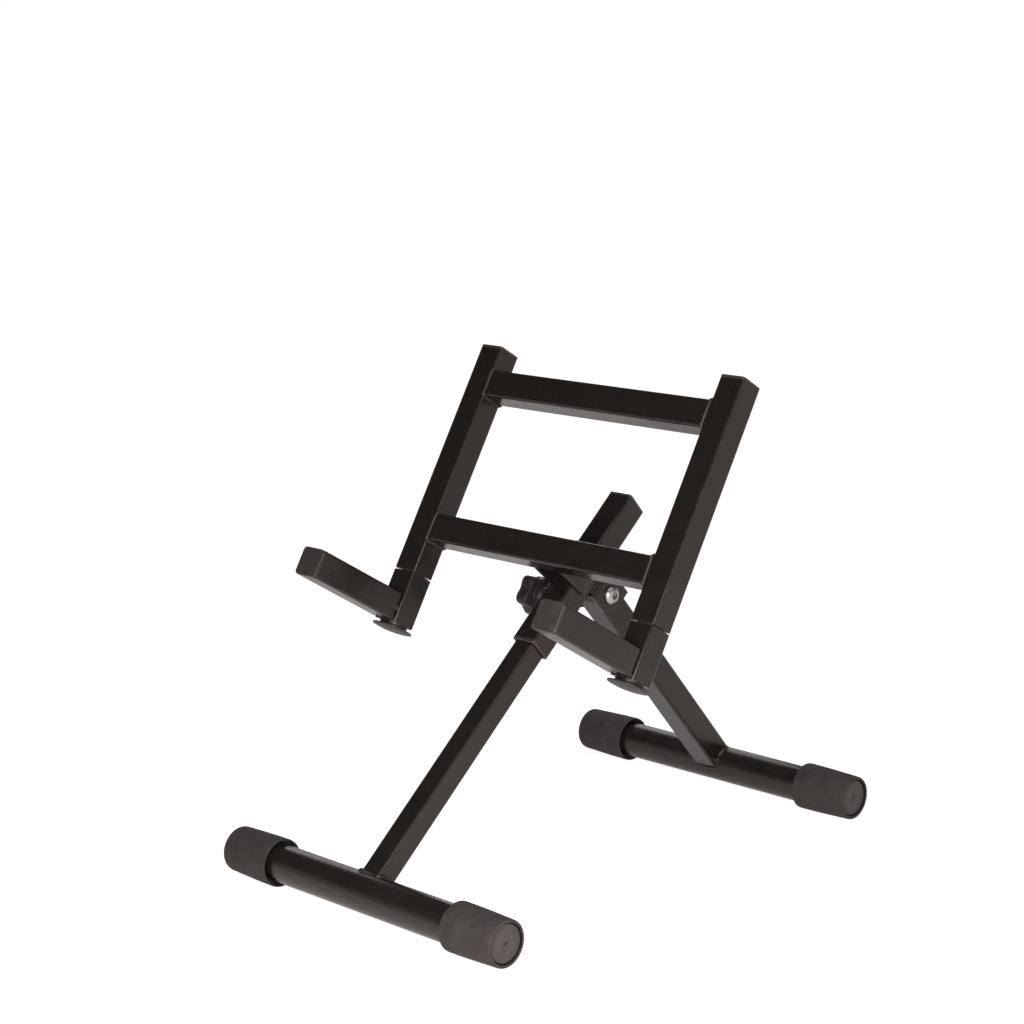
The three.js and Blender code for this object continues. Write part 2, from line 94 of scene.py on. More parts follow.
GUSSET_PAST_AXIS = 4.2
GUSSET_EDGE = 2.0
CAP_FLANGE = 2.5
PLUG_DEPTH = 14.0
ARM_REACH = 106.1
ARM_PLUG_CORNER = 3.5
ARM_GAP = 4.0
JOINT_SILL_HEIGHT = 4.0
JOINT_SILL_INSET = 1.0
JOINT_UP = 0.5
JOINT_TONGUE = 13.0
JOINT_TONGUE_DROP = 2.0
STUD_RADIUS = 5.0
SWIVEL_WASHER = 0.9
CLAMP_WASHER_RADIUS = 12.5
CLAMP_WASHER = 1.6
KNOB_NECK_RADIUS = 11.5
KNOB_NECK = 1.8
KNOB_FLANGE_RADIUS = 18.0
KNOB_RIM = 1.2
KNOB_DOME = 2.0
KNOB_DOME_EDGE = 1.4
STAR_RADIUS = 18.0
STAR_LOBES = 5
STAR_LOBE_DEPTH = 4.3
STAR_DEPTH = 12.0
STAR_HUB_RADIUS = 8.0
STAR_HUB = 5.0
HEIGHT_SCREW_RADIUS = 3.0
BOSS_RADIUS = 8.0
BOSS_LENGTH = 8.0
GAP = 0.2
RUN = 0.4
HEX_SOCKET = 3.2
SIDES = (("left", -1), ("right", 1))

HALF = TUBE / 2
INNER_HALF = INNER_TUBE / 2
FOOT_HEIGHT = CAP_MOUTH_RADIUS
LEG_COS = math.cos(math.radians(FRONT_LEG_ANGLE))
LEG_SIN = math.sin(math.radians(FRONT_LEG_ANGLE))
PIVOT_Z = FOOT_SPACING * LEG_COS
PIVOT_Y = HALF + GAP + PLATE + NOSE_CLEARANCE + HALF
REAR_LEG_LENGTH = FOOT_SPACING * LEG_SIN - PIVOT_Y
COLLAR_START = PIVOT_Z - COLLAR_DROP
OUTER_START = COLLAR_START + BUSH_LIP
OUTER_END = OUTER_START + OUTER_LENGTH
CLAMP_Z = OUTER_START + HEIGHT_CLAMP_UP
CORNER_Y = -FOOT_SPACING / 2 + PIVOT_Y * LEG_SIN + PIVOT_Z * LEG_COS - ARM_AHEAD
CORNER_Z = FOOT_HEIGHT - PIVOT_Y * LEG_COS + PIVOT_Z * LEG_SIN - ARM_DROP
EAR_IN = HALF + WASHER + 2 * GAP
EAR_OUT = EAR_IN + PLATE
EAR_RADIUS = HALF + PLATE + GAP
UPRIGHT_X = ARM_SPACING / 2
UPRIGHT_TOP = UPRIGHT_START + UPRIGHT_LENGTH
LOWER_BAR_Z = UPRIGHT_START + LOWER_BAR_UP + HALF
UPPER_BAR_Z = UPRIGHT_TOP - UPPER_BAR_DOWN - HALF

# Frames: the y and z of the origin and the turn about X in degrees.
FRONT_FOOT = (-FOOT_SPACING / 2, FOOT_HEIGHT, 0.0)
REAR_FOOT = (FOOT_SPACING / 2, FOOT_HEIGHT, 0.0)
FRONT_LEG = (-FOOT_SPACING / 2, FOOT_HEIGHT, FRONT_LEG_ANGLE - 90)
REAR_LEG = (FOOT_SPACING / 2, FOOT_HEIGHT, FRONT_LEG_ANGLE)
BACK_FRAME = (CORNER_Y, CORNER_Z, -BACK_TILT)

# ---------- camera ----------
CAMERA_PLACE = (1.355138, -1.431743, 0.730307)
CAMERA_AZIMUTH = 44.342
CAMERA_ELEVATION = 12.429
CAMERA_ROLL = -1.127
LENS = 84.58
SENSOR = 36.0


def linked(name, data):
    """A new object in the scene."""
    made = bpy.data.objects.new(name, data)
    bpy.context.scene.collection.objects.link(made)
    return made


def make_camera():
    """Looks along the azimuth and elevation, rolled about the line of sight."""
    a, e, r = map(math.radians, (CAMERA_AZIMUTH, CAMERA_ELEVATION, CAMERA_ROLL))
    back = Vector((math.sin(a) * math.cos(e), -math.cos(a) * math.cos(e), math.sin(e)))
    right = (-back).cross(Vector((0, 0, 1))).normalized()
    up = right.cross(-back)
    rolled_right = right * math.cos(r) + up * math.sin(r)
    rolled_up = up * math.cos(r) - right * math.sin(r)
    data = bpy.data.cameras.new("camera")
    data.lens, data.sensor_width = LENS, SENSOR
    data.clip_start, data.clip_end = 0.05, 200
    camera = linked("camera", data)
    turn = Matrix((rolled_right, rolled_up, back)).transposed().to_4x4()
    camera.matrix_world = Matrix.Translation(CAMERA_PLACE) @ turn
    bpy.context.scene.camera = camera


make_camera()

# ---------- surfaces ----------
ROUND_STEPS = 96
CORNER_STEPS = 8
SIDE_STEPS = 14
FILLET_STEPS = 6
SMOOTH_ANGLE = math.radians(38)
SMALLEST_CORNER = 0.6
END_ROUND = 0.45
INNER_ROUND = END_ROUND * 0.6
FACE_ROUND = 0.7
PLATE_ROUND = 0.5
EDGE_AROUND = 0.55
MERGE_DISTANCE = 2e-6
COLLAPSE_DISTANCE = 1e-6


def filleted(corners, closed=True):
    """Rounds an outline. Rows of corners are (out, along, setback). Each corner P becomes the
    arc (1-t)^2 A + 2t(1-t) P + t^2 C between points A and C a setback away on its two sides.
    The edge weight is 4t(1-t) on outer corners and 0 elsewhere."""
    rows = np.asarray(corners, float)
    p, setback = rows[:, :2], rows[:, 2].copy()
    if not closed:
        setback[[0, -1]] = 0
    before, after = np.roll(p, 1, 0) - p, np.roll(p, -1, 0) - p
    length_before = np.linalg.norm(before, axis=1) + 1e-9
    length_after = np.linalg.norm(after, axis=1) + 1e-9
    a = p + before * (np.minimum(setback, 0.49 * length_before) / length_before)[:, None]
    c = p + after * (np.minimum(setback, 0.49 * length_after) / length_after)[:, None]
    t = np.linspace(0, 1, FILLET_STEPS + 1)[None, :, None]
    arcs = (1 - t) ** 2 * a[:, None] + 2 * t * (1 - t) * p[:, None] + t**2 * c[:, None]
    turn = after[:, 0] * before[:, 1] - after[:, 1] * before[:, 0]
    q = np.roll(p, -1, 0)
    around = np.sign(np.sum(p[:, 0] * q[:, 1] - q[:, 0] * p[:, 1]))
    outer = (turn * around > 0) & (setback > 0)
    edge = 4 * t[0, :, 0] * (1 - t[0, :, 0]) * outer[:, None]
    return arcs.reshape(-1, 2), edge.reshape(-1)


def even_angles(count):
    """A full turn in even steps."""
    return np.linspace(0, 2 * np.pi, count, endpoint=False)


def rings(radius):
    """A ring of points (r cos a, r sin a) at even angles a for each row of radii, unworn."""
    angle = even_angles(radius.shape[1])
    unit = np.stack([np.cos(angle), np.sin(angle)], -1)
    return radius[..., None] * unit[None], np.zeros(len(angle))


def round_section(out):
    """Circles of the given radii."""
    return rings(np.repeat(out[:, None], ROUND_STEPS, 1))


def square_outline():
    """A rounded square as centre coordinates C and outward normals N, so that the point is
    (h - c) C + c N for half-width h and corner radius c. The edge weight peaks mid-corner."""
    turn = np.linspace(0, np.pi / 2, CORNER_STEPS + 1)
    side = np.sin(np.linspace(-np.pi / 2, np.pi / 2, SIDE_STEPS + 1)[1:-1])
    centre = np.concatenate([
        np.stack([np.ones_like(side), side], -1), np.ones((CORNER_STEPS + 1, 2))])
    normal = np.concatenate([
        np.stack([np.ones_like(side), np.zeros_like(side)], -1),
        np.stack([np.cos(turn), np.sin(turn)], -1)])
    edge = np.concatenate([np.zeros_like(side), np.sin(2 * turn)])
    quarters = [np.array([[math.cos(q), math.sin(q)], [-math.sin(q), math.cos(q)]])
                for q in np.arange(4) * np.pi / 2]
    return (np.concatenate([centre @ m for m in quarters]),
            np.concatenate([normal @ m for m in quarters]), np.tile(edge, 4))


def square_section(corner, widest):
    """Rounded squares of the given half-widths. The corner radius falls by as much as the
    half-width does, down to a small radius."""
    def section(out):
        """The rings of all the half-widths, and the edge weight round them."""
        radius = np.clip(corner - (widest - out), SMALLEST_CORNER, None)
        radius = np.minimum(radius, out)
        centre, normal, edge = square_outline()
        flat = (out - radius)[:, None, None] * centre[None]
        return flat + radius[:, None, None] * normal[None], edge
    return section


def star_section(out):
    """A star of n lobes: the radius is r - d (1 - cos na) / 2, where d grows from nothing at
    the hub's radius to the lobes' depth at the star's."""
    angle = even_angles(ROUND_STEPS * 2)
    share = np.clip((out - STAR_HUB_RADIUS) / (STAR_RADIUS - STAR_HUB_RADIUS), 0, 1)
    depth = STAR_LOBE_DEPTH * share**2
    return rings(out[:, None] - depth[:, None] * (1 - np.cos(STAR_LOBES * angle)) / 2)


def shell(corners, section, closed=True, low=None, high=None):
    """A profile carried round a section: the outline's first value is the section's
    half-width and its second the height. low(y) and high(y) bend the two ends, each fading
    to nothing at the other end."""
    outline, edge_along = filleted(corners, closed)
    flat, edge_around = section(outline[:, 0])
    height = np.repeat(outline[:, 1][:, None], flat.shape[1], 1)
    bottom, top = outline[:, 1].min(), outline[:, 1].max()
    share = (height - bottom) / (top - bottom)
    if low is not None:
        height = height + low(flat[..., 1]) * (1 - share)
    if high is not None:
        height = height + high(flat[..., 1]) * share
    points = np.concatenate([flat, height[..., None]], -1)
    edge = np.maximum(edge_along[:, None], edge_around[None, :] * EDGE_AROUND)
    return points, edge, closed, True


def tube_corners(half, wall, start, end):
    """A tube wall's outline, counter-clockwise from the inner lower corner."""
    return [(half - wall, start, INNER_ROUND), (half, start, END_ROUND),
            (half, end, END_ROUND), (half - wall, end, INNER_ROUND)]


def turned(corners):
    """A solid turned round z, whose profile starts and ends on the axis."""
    return shell(corners, round_section, closed=False)


def ring_shell(bore, radius, low, high, setbacks):
    """A round ring with a rectangular wall: the setbacks are those of its inner low, outer
    low, outer high and inner high corners."""
    corners = ((bore, low), (radius, low), (radius, high), (bore, high))
    return shell([(*at, setback) for at, setback in zip(corners, setbacks)], round_section)


def square_tube(size, corner, start, end, **ends):
    """A square tube from start to end along z, whose ends can be bent as shell's can."""
    half = size / 2
    return shell(tube_corners(half, TUBE_WALL, start, end), square_section(corner, half), **ends)


def foot_curve(y):
    """Height of the foot tube's surface over its axis at y."""
    return np.sqrt(np.clip((FOOT_RADIUS + GAP) ** 2 - y**2, 0, None))


def nose_curve(y):
    """Height of the leg's rounded end over the pivot's axis at y."""
    return np.sqrt(np.clip(HALF**2 - y**2, 0, None))


def plug_shell(corner, depth):
    """A plug for a large tube: a body that narrows a little at its end, below height 0, and
    a flange with a rounded rim and a flat face."""
    body = HALF - TUBE_WALL - GAP
    corners = [(0, -depth, 0), (body - 0.8, -depth, 0.8), (body, -1, 0.4), (body, 0, 0.2),
               (HALF, 0, 0.25), (HALF, CAP_FLANGE, FACE_ROUND), (0, CAP_FLANGE, 0)]
    return shell(corners, square_section(corner, HALF), closed=False)


def sheet_shell(outline, thickness):
    """A plate: rows of outline are (y, z, setback), rounded and pulled in a little at both
    faces. The faces meet in rings that shrink to the outline's middle."""
    line, _ = filleted(outline)
    step = np.roll(line, -1, 0) - np.roll(line, 1, 0)
    q = np.roll(line, -1, 0)
    around = np.sign(np.sum(line[:, 0] * q[:, 1] - q[:, 0] * line[:, 1]))
    normal = np.stack([step[:, 1], -step[:, 0]], -1) * around
    normal /= np.linalg.norm(normal, axis=1)[:, None] + 1e-9
    t = np.linspace(0, np.pi / 2, 4)
    inset = PLATE_ROUND * (1 - np.concatenate([np.sin(t), np.sin(t[::-1])]))
    across = np.concatenate([PLATE_ROUND * (1 - np.cos(t)),
                             thickness - PLATE_ROUND * (1 - np.cos(t[::-1]))])
    ring = line[None] - inset[:, None, None] * normal[None]
    middle = line.mean(0)
    ring = np.concatenate([np.repeat(middle[None, None], len(line), 1), ring,
                           np.repeat(middle[None, None], len(line), 1)])
    across = np.concatenate([[0], across, [thickness]])
    points = np.concatenate([np.repeat(across[:, None, None], len(line), 1), ring], -1)
    worn = np.concatenate([[0], np.sin(2 * t), np.sin(2 * t[::-1]), [0]])
    return points, np.repeat(worn[:, None], len(line), 1), False, True


def block(x0, x1, y0, y1, z0, z1):
    """A plate given by its six faces, with rounded edges."""
    setback = PLATE_ROUND * 2
    outline = [(y0, z0, setback), (y1, z0, setback), (y1, z1, setback), (y0, z1, setback)]
    return moved(sheet_shell(outline, x1 - x0), by=(x0, 0, 0))


# A bead's ripple length, rings to a ripple, points to a ring, and the shares of its radius
# that the ripples and the slow swell add; its sideways drift.
BEAD_PITCH = 1.7
BEAD_RINGS = 7
BEAD_AROUND = 12
BEAD_RIPPLE = 0.20
BEAD_SWELL = 0.14
BEAD_DRIFT = 0.22
BEAD_STEPS = 8
CIRCLE_STEPS = 48
STITCH_STEPS = 12
BEAD_OVER = 0.3
SIDE_BEAD = 1.3
BAR_BEAD = 1.4
UNDER_BEAD = 1.6


def bead(path, outward, up, radius, closed, seed):
    """A weld bead along a path: rings radius (cos a outward + sin a up), whose radius swells
    with each stacked ripple and whose middle wanders a little. Open beads close in a dome."""
    if closed:
        path, outward, up = (np.concatenate([g, g[:1]]) for g in (path, outward, up))
    length = np.concatenate([[0], np.cumsum(np.linalg.norm(np.diff(path, axis=0), axis=1))])
    count = int(length[-1] / BEAD_PITCH) * BEAD_RINGS
    s = np.linspace(0, length[-1], count, endpoint=not closed)

    def along(g):
        """Values at even steps of length."""
        return np.stack([np.interp(s, length, g[:, k]) for k in range(3)], -1)

    path, outward, up = along(path), along(outward), along(up)
    share = s / length[-1]
    ripples = max(1, round(length[-1] / BEAD_PITCH))
    swell = 1 + BEAD_RIPPLE * np.abs(np.sin(np.pi * ripples * share))
    swell = swell + BEAD_SWELL * np.sin(2 * np.pi * 3 * share + seed)
    if not closed:
        swell = swell * np.sqrt(np.clip(1 - np.abs(2 * share - 1) ** 9, 0, None))
    drift = BEAD_DRIFT * np.sin(2 * np.pi * 2 * share + 1.3 * seed)
    path = path + drift[:, None] * outward
    a = even_angles(BEAD_AROUND)
    spoke = np.cos(a)[None, :, None] * outward[:, None] + np.sin(a)[None, :, None] * up[:, None]
    points = path[:, None] + (radius * swell)[:, None, None] * spoke
    # Ripple crests get a high edge weight, so the welds' light brown worn colour lands on them:
    # partly wear and rust, partly a painted highlight on the crests.
    crest_wear_and_highlight = np.abs(np.sin(np.pi * ripples * share)) * 0.8
    return points, np.repeat(crest_wear_and_highlight[:, None], BEAD_AROUND, 1), closed, True


def straight_bead(start, end, outward, radius, seed):
    """A weld bead along a straight line."""
    start, end, outward = (np.array(v, float) for v in (start, end, outward))
    t = np.linspace(0, 1, BEAD_STEPS)[:, None]
    direction = (end - start) / np.linalg.norm(end - start)
    out = np.repeat((outward / np.linalg.norm(outward))[None], BEAD_STEPS, 0)
    path = start * (1 - t) + end * t
    return bead(path, out, np.cross(direction, out), radius, False, seed)


def square_bead(half, corner, radius, height, seed):
    """A weld bead round a square tube, at the height that the curve gives for each y."""
    centre, normal, _ = square_outline()
    flat = (half - corner) * centre + corner * normal
    path = np.concatenate([flat, height(flat[:, 1])[:, None]], -1)
    out = np.concatenate([normal, np.zeros((len(normal), 1))], -1)
    up = np.repeat(np.array([[0.0, 0.0, 1.0]]), len(path), 0)
    return bead(path, out, up, radius, True, seed)


def side_stitch(sign, low, high, radius, seed):
    """A short weld on one side of the rear leg, along its coped edge from y low to high."""
    y = np.linspace(low, high, STITCH_STEPS)
    x = np.full_like(y, sign * (HALF + BEAD_OVER))
    path = np.stack([x, y, foot_curve(y) + BEAD_OVER], -1)
    out = np.repeat(np.array([[float(sign), 0.0, 0.0]]), STITCH_STEPS, 0)
    up = np.repeat(np.array([[0.0, 0.0, float(sign)]]), STITCH_STEPS, 0)
    return bead(path, out, up, radius, False, seed)


# ---------- turning and placing ----------
def along_x(points, sign=1):
    """A shape made along z, laid along x."""
    x, y, z = points[..., 0], points[..., 1], points[..., 2]
    return np.stack([sign * z, y, -sign * x], -1)


def to_side(sign):
    """The turn that lays a shape made along z towards the side of the sign."""
    return lambda points: along_x(points, sign)


def along_back(points):
    """A shape made along z, laid along -y."""
    x, y, z = points[..., 0], points[..., 1], points[..., 2]
    return np.stack([x, -z, y], -1)


def moved(patch, turn=None, by=(0, 0, 0)):
    """A grid of points turned and then moved."""
    points, edge, closed_u, closed_v = patch
    points = turn(points) if turn else points
    return points + np.array(by, float), edge, closed_u, closed_v


def placed(points, place):
    """Turned about X by the frame's angle and moved to its origin, in metres."""
    y0, z0, degrees = place
    c, s = math.cos(math.radians(degrees)), math.sin(math.radians(degrees))
    x, y, z = points[..., 0], points[..., 1], points[..., 2]
    return np.stack([x, y0 + y * c - z * s, z0 + y * s + z * c], -1) * MM


def piece(name, patches, place, material, body, slot, *nodes):
    """One mesh from grids of points, with seams and poles merged and faces turned outwards.
    The edge weight of each point is kept for the wear."""
    places, weights, faces, first = [], [], [], 0
    for points, edge, closed_u, closed_v in patches:
        nu, nv = points.shape[:2]
        u = np.arange(nu if closed_u else nu - 1)[:, None]
        v = np.arange(nv if closed_v else nv - 1)[None]
        u2, v2 = (u + 1) % nu, (v + 1) % nv
        quads = np.stack([u * nv + v, u * nv + v2, u2 * nv + v2, u2 * nv + v], -1)
        faces.append(quads.reshape(-1, 4) + first)
        places.append(placed(points, place).reshape(-1, 3))
        weights.append(edge.reshape(-1))
        first += nu * nv
    mesh = bpy.data.meshes.new(name)
    mesh.from_pydata(np.concatenate(places), [], np.concatenate(faces).tolist())
    worn = mesh.attributes.new("edge", "FLOAT", "POINT")
    worn.data.foreach_set("value", np.concatenate(weights).astype(np.float32))
    bm = bmesh.new()
    bm.from_mesh(mesh)
    bmesh.ops.remove_doubles(bm, verts=bm.verts, dist=MERGE_DISTANCE)
    bmesh.ops.dissolve_degenerate(bm, edges=bm.edges, dist=COLLAPSE_DISTANCE)
    bmesh.ops.recalc_face_normals(bm, faces=bm.faces)
    bm.to_mesh(mesh)
    bm.free()
    mesh.shade_smooth()
    mesh.set_sharp_from_angle(angle=SMOOTH_ANGLE)
    mesh.materials.append(material)
    made = linked(name, mesh)
    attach(made, body)
    if nodes:
        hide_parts(*nodes)


# ---------- materials ----------
def new_group(name, inputs, outputs):
    """An empty shader node group with named float inputs and outputs."""
    tree = bpy.data.node_groups.new(name, "ShaderNodeTree")
    for socket, value in inputs:
        made = tree.interface.new_socket(name=socket, in_out="INPUT",
                                         socket_type="NodeSocketFloat")
        made.default_value = value
    for socket in outputs:
        tree.interface.new_socket(name=socket, in_out="OUTPUT", socket_type="NodeSocketFloat")
    return tree, tree.nodes.new("NodeGroupInput"), tree.nodes.new("NodeGroupOutput")


def feed(tree, made, values):
    """Gives a node's inputs their values: numbers, colours, or links from sockets."""
    for key, value in values.items():
        if isinstance(value, bpy.types.NodeSocket):
            tree.links.new(value, made.inputs[key])
        else:
            colour = isinstance(value, tuple)
            made.inputs[key].default_value = (*value, 1.0) if colour else value


def node(tree, kind, inputs=None, **settings):
    """A node with its settings and inputs."""
    made = tree.nodes.new("ShaderNode" + kind)
    for key, value in settings.items():
        setattr(made, key, value)
    feed(tree, made, inputs or {})
    return made


def arithmetic(tree, operation, a, b, clamp=False):
    """One Math node; a and b are sockets or numbers."""
    return node(tree, "Math", {0: a, 1: b}, operation=operation, use_clamp=clamp).outputs[0]


def noise(tree, scale, detail, roughness, coordinates=None):
    """Noise on object coordinates; scale is a socket or a number."""
    if coordinates is None:
        coordinates = node(tree, "TexCoord").outputs["Object"]
    inputs = {"Vector": coordinates, "Scale": scale, "Detail": detail, "Roughness": roughness}
    return node(tree, "TexNoise", inputs).outputs["Fac"]


def spread(tree, value, low, high, to_low=0.0, to_high=1.0):
    """Maps low..high to to_low..to_high, clamped."""
    inputs = {"Value": value, "From Min": low, "From Max": high, "To Min": to_low,
              "To Max": to_high}
    return node(tree, "MapRange", inputs, clamp=True).outputs["Result"]


# How many waves to a metre each noise has, and the stretches of the two sets of marks.
PATCH_SCALE, NICK_SCALE = 60.0, 700.0
CLOUD_SCALE, SPECK_SCALE = 55.0, 1500.0
STREAK_SCALE = 60.0
STREAK_STRETCHES = ((0.12, 1.6, 1.6), (1.7, 0.5, 0.14))


def grain_group():
    """Height of a fine surface grain and a broad mottle, both 0 to 1: pebbles are the
    distance to the nearest cell, softened by noise of the same scale."""
    inputs = [("Grain", 900.0), ("Pebble", 0.5), ("Mottle", 40.0)]
    tree, start, end = new_group("surface_grain", inputs, ["Height", "Mottle"])
    soft = noise(tree, start.outputs["Grain"], 2.0, 0.6)
    place = node(tree, "TexCoord").outputs["Object"]
    cells = node(tree, "TexVoronoi", {"Vector": place, "Scale": start.outputs["Grain"]})
    pebble = arithmetic(tree, "SUBTRACT", 1.0, cells.outputs["Distance"], True)
    lean = arithmetic(tree, "SUBTRACT", pebble, soft)
    lean = arithmetic(tree, "MULTIPLY", lean, start.outputs["Pebble"])
    broad = noise(tree, start.outputs["Mottle"], 5.0, 0.62)
    feed(tree, end, {"Height": arithmetic(tree, "ADD", soft, lean),
                     "Mottle": spread(tree, broad, 0.32, 0.68)})
    return tree


def wear_group():
    """A mask of rubbed edges: the edge weight times broken-up noise, sharpened."""
    tree, start, end = new_group("worn_edges", [("Amount", 0.5)], ["Mask"])
    edge = node(tree, "Attribute", attribute_name="edge").outputs["Fac"]
    patches = spread(tree, noise(tree, PATCH_SCALE, 4.0, 0.7), 0.38, 0.66)
    nicks = spread(tree, noise(tree, NICK_SCALE, 2.0, 0.6), 0.35, 0.6)
    rubbed = arithmetic(tree, "MULTIPLY", arithmetic(tree, "MULTIPLY", patches, nicks), edge)
    rubbed = arithmetic(tree, "MULTIPLY", rubbed, start.outputs["Amount"], True)
    feed(tree, end, {"Mask": rubbed})
    return tree


def dust_group():
    """A mask of settled dust: more on faces that look up, broken up by noise."""
    tree, start, end = new_group("settled_dust", [("Amount", 0.2)], ["Mask"])
    normal = node(tree, "SeparateXYZ", {0: node(tree, "NewGeometry").outputs["Normal"]})
    facing = spread(tree, normal.outputs["Z"], 0.1, 1.0)
    cloud = spread(tree, noise(tree, CLOUD_SCALE, 6.0, 0.66), 0.35, 0.75)
    speck = spread(tree, noise(tree, SPECK_SCALE, 2.0, 0.5), 0.62, 0.72)
    both = arithmetic(tree, "ADD", arithmetic(tree, "MULTIPLY", cloud, 0.55), speck)
    amount = arithmetic(tree, "MULTIPLY", facing, both)
    mask = arithmetic(tree, "MULTIPLY", amount, start.outputs["Amount"], True)
    feed(tree, end, {"Mask": mask})
    return tree


def handling_group():
    """Faint rub marks, 0 to 1: noise drawn out along x and along z, thresholded thin."""
    tree, _, end = new_group("handling_marks", [], ["Mask"])
    place = node(tree, "TexCoord").outputs["Object"]
    marks = []
    for stretch in STREAK_STRETCHES:
        mapping = node(tree, "Mapping", {"Vector": place})
        mapping.inputs["Scale"].default_value = stretch
        streak = noise(tree, STREAK_SCALE, 5.0, 0.7, mapping.outputs[0])
        marks.append(spread(tree, streak, 0.56, 0.70))
    feed(tree, end, {"Mask": arithmetic(tree, "MAXIMUM", *marks)})
    return tree


GROUPS = {
    "grain": grain_group(), "wear": wear_group(), "dust": dust_group(), "marks": handling_group(),
}
DUST_COLOUR = (0.125, 0.108, 0.102)
DUST_ROUGHNESS = 0.3
WARM = (1.0, 0.87, 0.82)
WHITE = (1.0, 1.0, 1.0)


def new_material(name):
    """A material, its node tree and its shader."""
    material = bpy.data.materials.new(name)
    material.use_nodes = True
    return material, material.node_tree, material.node_tree.nodes["Principled BSDF"]


def finish(name, colour, worn, roughness, grain, pebble, depth, wear, metallic=0.0,
           mottle=40.0, tone=0.25, rough_span=0.10, dust=0.1, marks=0.06, specular=0.5,
           sheen_colour=WARM):
    """A finish: its colour varies by tone with the mottle, turns to the worn colour on rubbed
    edges and to dust on upper faces; roughness follows the mottle and the marks; the bump is
    the grain, depth in metres."""
    material, tree, shader = new_material(name)

    def grouped(key, **inputs):
        """One of the groups with its inputs."""
        return node(tree, "Group", inputs, node_tree=GROUPS[key])

    def mixed(factor, a, b):
        """The colour a (1 - factor) + b factor; a and b are colours or sockets."""
        return node(tree, "Mix", {"Factor": factor, 6: a, 7: b}, data_type="RGBA").outputs[2]

    surface = grouped("grain", Grain=grain, Pebble=pebble, Mottle=mottle)
    rubbed = grouped("wear", Amount=wear).outputs["Mask"]
    settled = grouped("dust", Amount=dust).outputs["Mask"]
    streaks = grouped("marks").outputs["Mask"]
    dark = tuple(c * (1 - tone) for c in colour)
    light = tuple(c * (1 + tone) for c in colour)
    base = mixed(surface.outputs["Mottle"], dark, light)
    base = mixed(rubbed, base, worn)
    base = mixed(settled, base, DUST_COLOUR)
    half = rough_span / 2
    rough = spread(tree, surface.outputs["Mottle"], 0, 1, roughness - half, roughness + half)
    rough = arithmetic(tree, "ADD", rough, arithmetic(tree, "MULTIPLY", streaks, marks))
    dusty = arithmetic(tree, "MULTIPLY", settled, DUST_ROUGHNESS)
    rough = arithmetic(tree, "ADD", rough, dusty, True)
    bump = node(tree, "Bump", {"Strength": 1.0, "Distance": depth,
                               "Height": surface.outputs["Height"]})
    feed(tree, shader, {
        "Base Color": base, "Roughness": rough, "Metallic": metallic,
        "Specular IOR Level": specular, "Specular Tint": sheen_colour,
        "Normal": bump.outputs["Normal"]})
    return material


PAINT = finish("black_paint", (0.0110, 0.0090, 0.0080), (0.060, 0.047, 0.041), roughness=0.26,
               grain=420.0, pebble=0.15, depth=0.000026, wear=0.3, tone=0.12, rough_span=0.07,
               dust=0.06, marks=0.07)
# Paint on the welds: its light brown worn colour on the bead crests is partly wear and rust, partly
# a painted highlight.
WELDS = finish("welded_paint", (0.0120, 0.0090, 0.0080), (0.150, 0.085, 0.062), roughness=0.34,
               grain=900.0, pebble=0.5, depth=0.00012, wear=0.7, rough_span=0.12, dust=0.05,
               marks=0.07)
RUBBER = finish("foot_rubber", (0.035, 0.0296, 0.0290), (0.066, 0.057, 0.055), roughness=0.74,
                grain=1300.0, pebble=0.6, depth=0.00026, wear=0.5, mottle=75.0, tone=0.28,
                dust=0.12, marks=0.05, specular=0.40)
RUBBER_DISC = finish("foot_rubber_disc", (0.051, 0.0442, 0.0436), (0.10, 0.088, 0.085),
                     roughness=0.55, grain=900.0, pebble=0.2, depth=0.00004, wear=0.5,
                     mottle=90.0, tone=0.12, dust=0.08, marks=0.05, specular=0.45)
# Near-black rubber that paints shade into the caps' groove and dimple.
PAINTED_SHADE_RUBBER = finish("foot_rubber_painted_shade", (0.010, 0.0086, 0.0084), (0.03, 0.026, 0.025),
                roughness=0.85, grain=1300.0, pebble=0.6, depth=0.0001, wear=0.2, mottle=90.0,
                tone=0.2, dust=0.02, marks=0.03, specular=0.2)
PLASTIC = finish("black_plastic", (0.032, 0.0268, 0.0260), (0.12, 0.105, 0.10), roughness=0.48,
                 grain=1900.0, pebble=0.4, depth=0.00008, wear=0.85, mottle=55.0, tone=0.14,
                 dust=0.08)
KNOB = finish("knob_plastic", (0.022, 0.0182, 0.0176), (0.10, 0.088, 0.085), roughness=0.42,
              grain=1700.0, pebble=0.4, depth=0.00009, wear=0.8, mottle=55.0, tone=0.12,
              specular=0.28)
NYLON = finish("white_nylon", (0.62, 0.60, 0.55), (0.70, 0.68, 0.63), roughness=0.45,
               grain=1200.0, pebble=0.3, depth=0.00004, wear=0.4, tone=0.04,
               sheen_colour=WHITE)
ZINC = finish("zinc_steel", (0.44, 0.44, 0.43), (0.55, 0.55, 0.54), roughness=0.34,
              grain=1400.0, pebble=0.3, depth=0.00003, wear=0.5, metallic=1.0, mottle=160.0,
              tone=0.14, rough_span=0.16, marks=0.12, sheen_colour=WHITE)
OXIDE = finish("black_steel", (0.030, 0.027, 0.026), (0.30, 0.28, 0.27), roughness=0.33,
               grain=1100.0, pebble=0.2, depth=0.00003, wear=0.9, metallic=0.6, mottle=120.0,
               tone=0.15, dust=0.06, marks=0.10, sheen_colour=WHITE)

# ---------- feet ----------
SKIN = 0.02


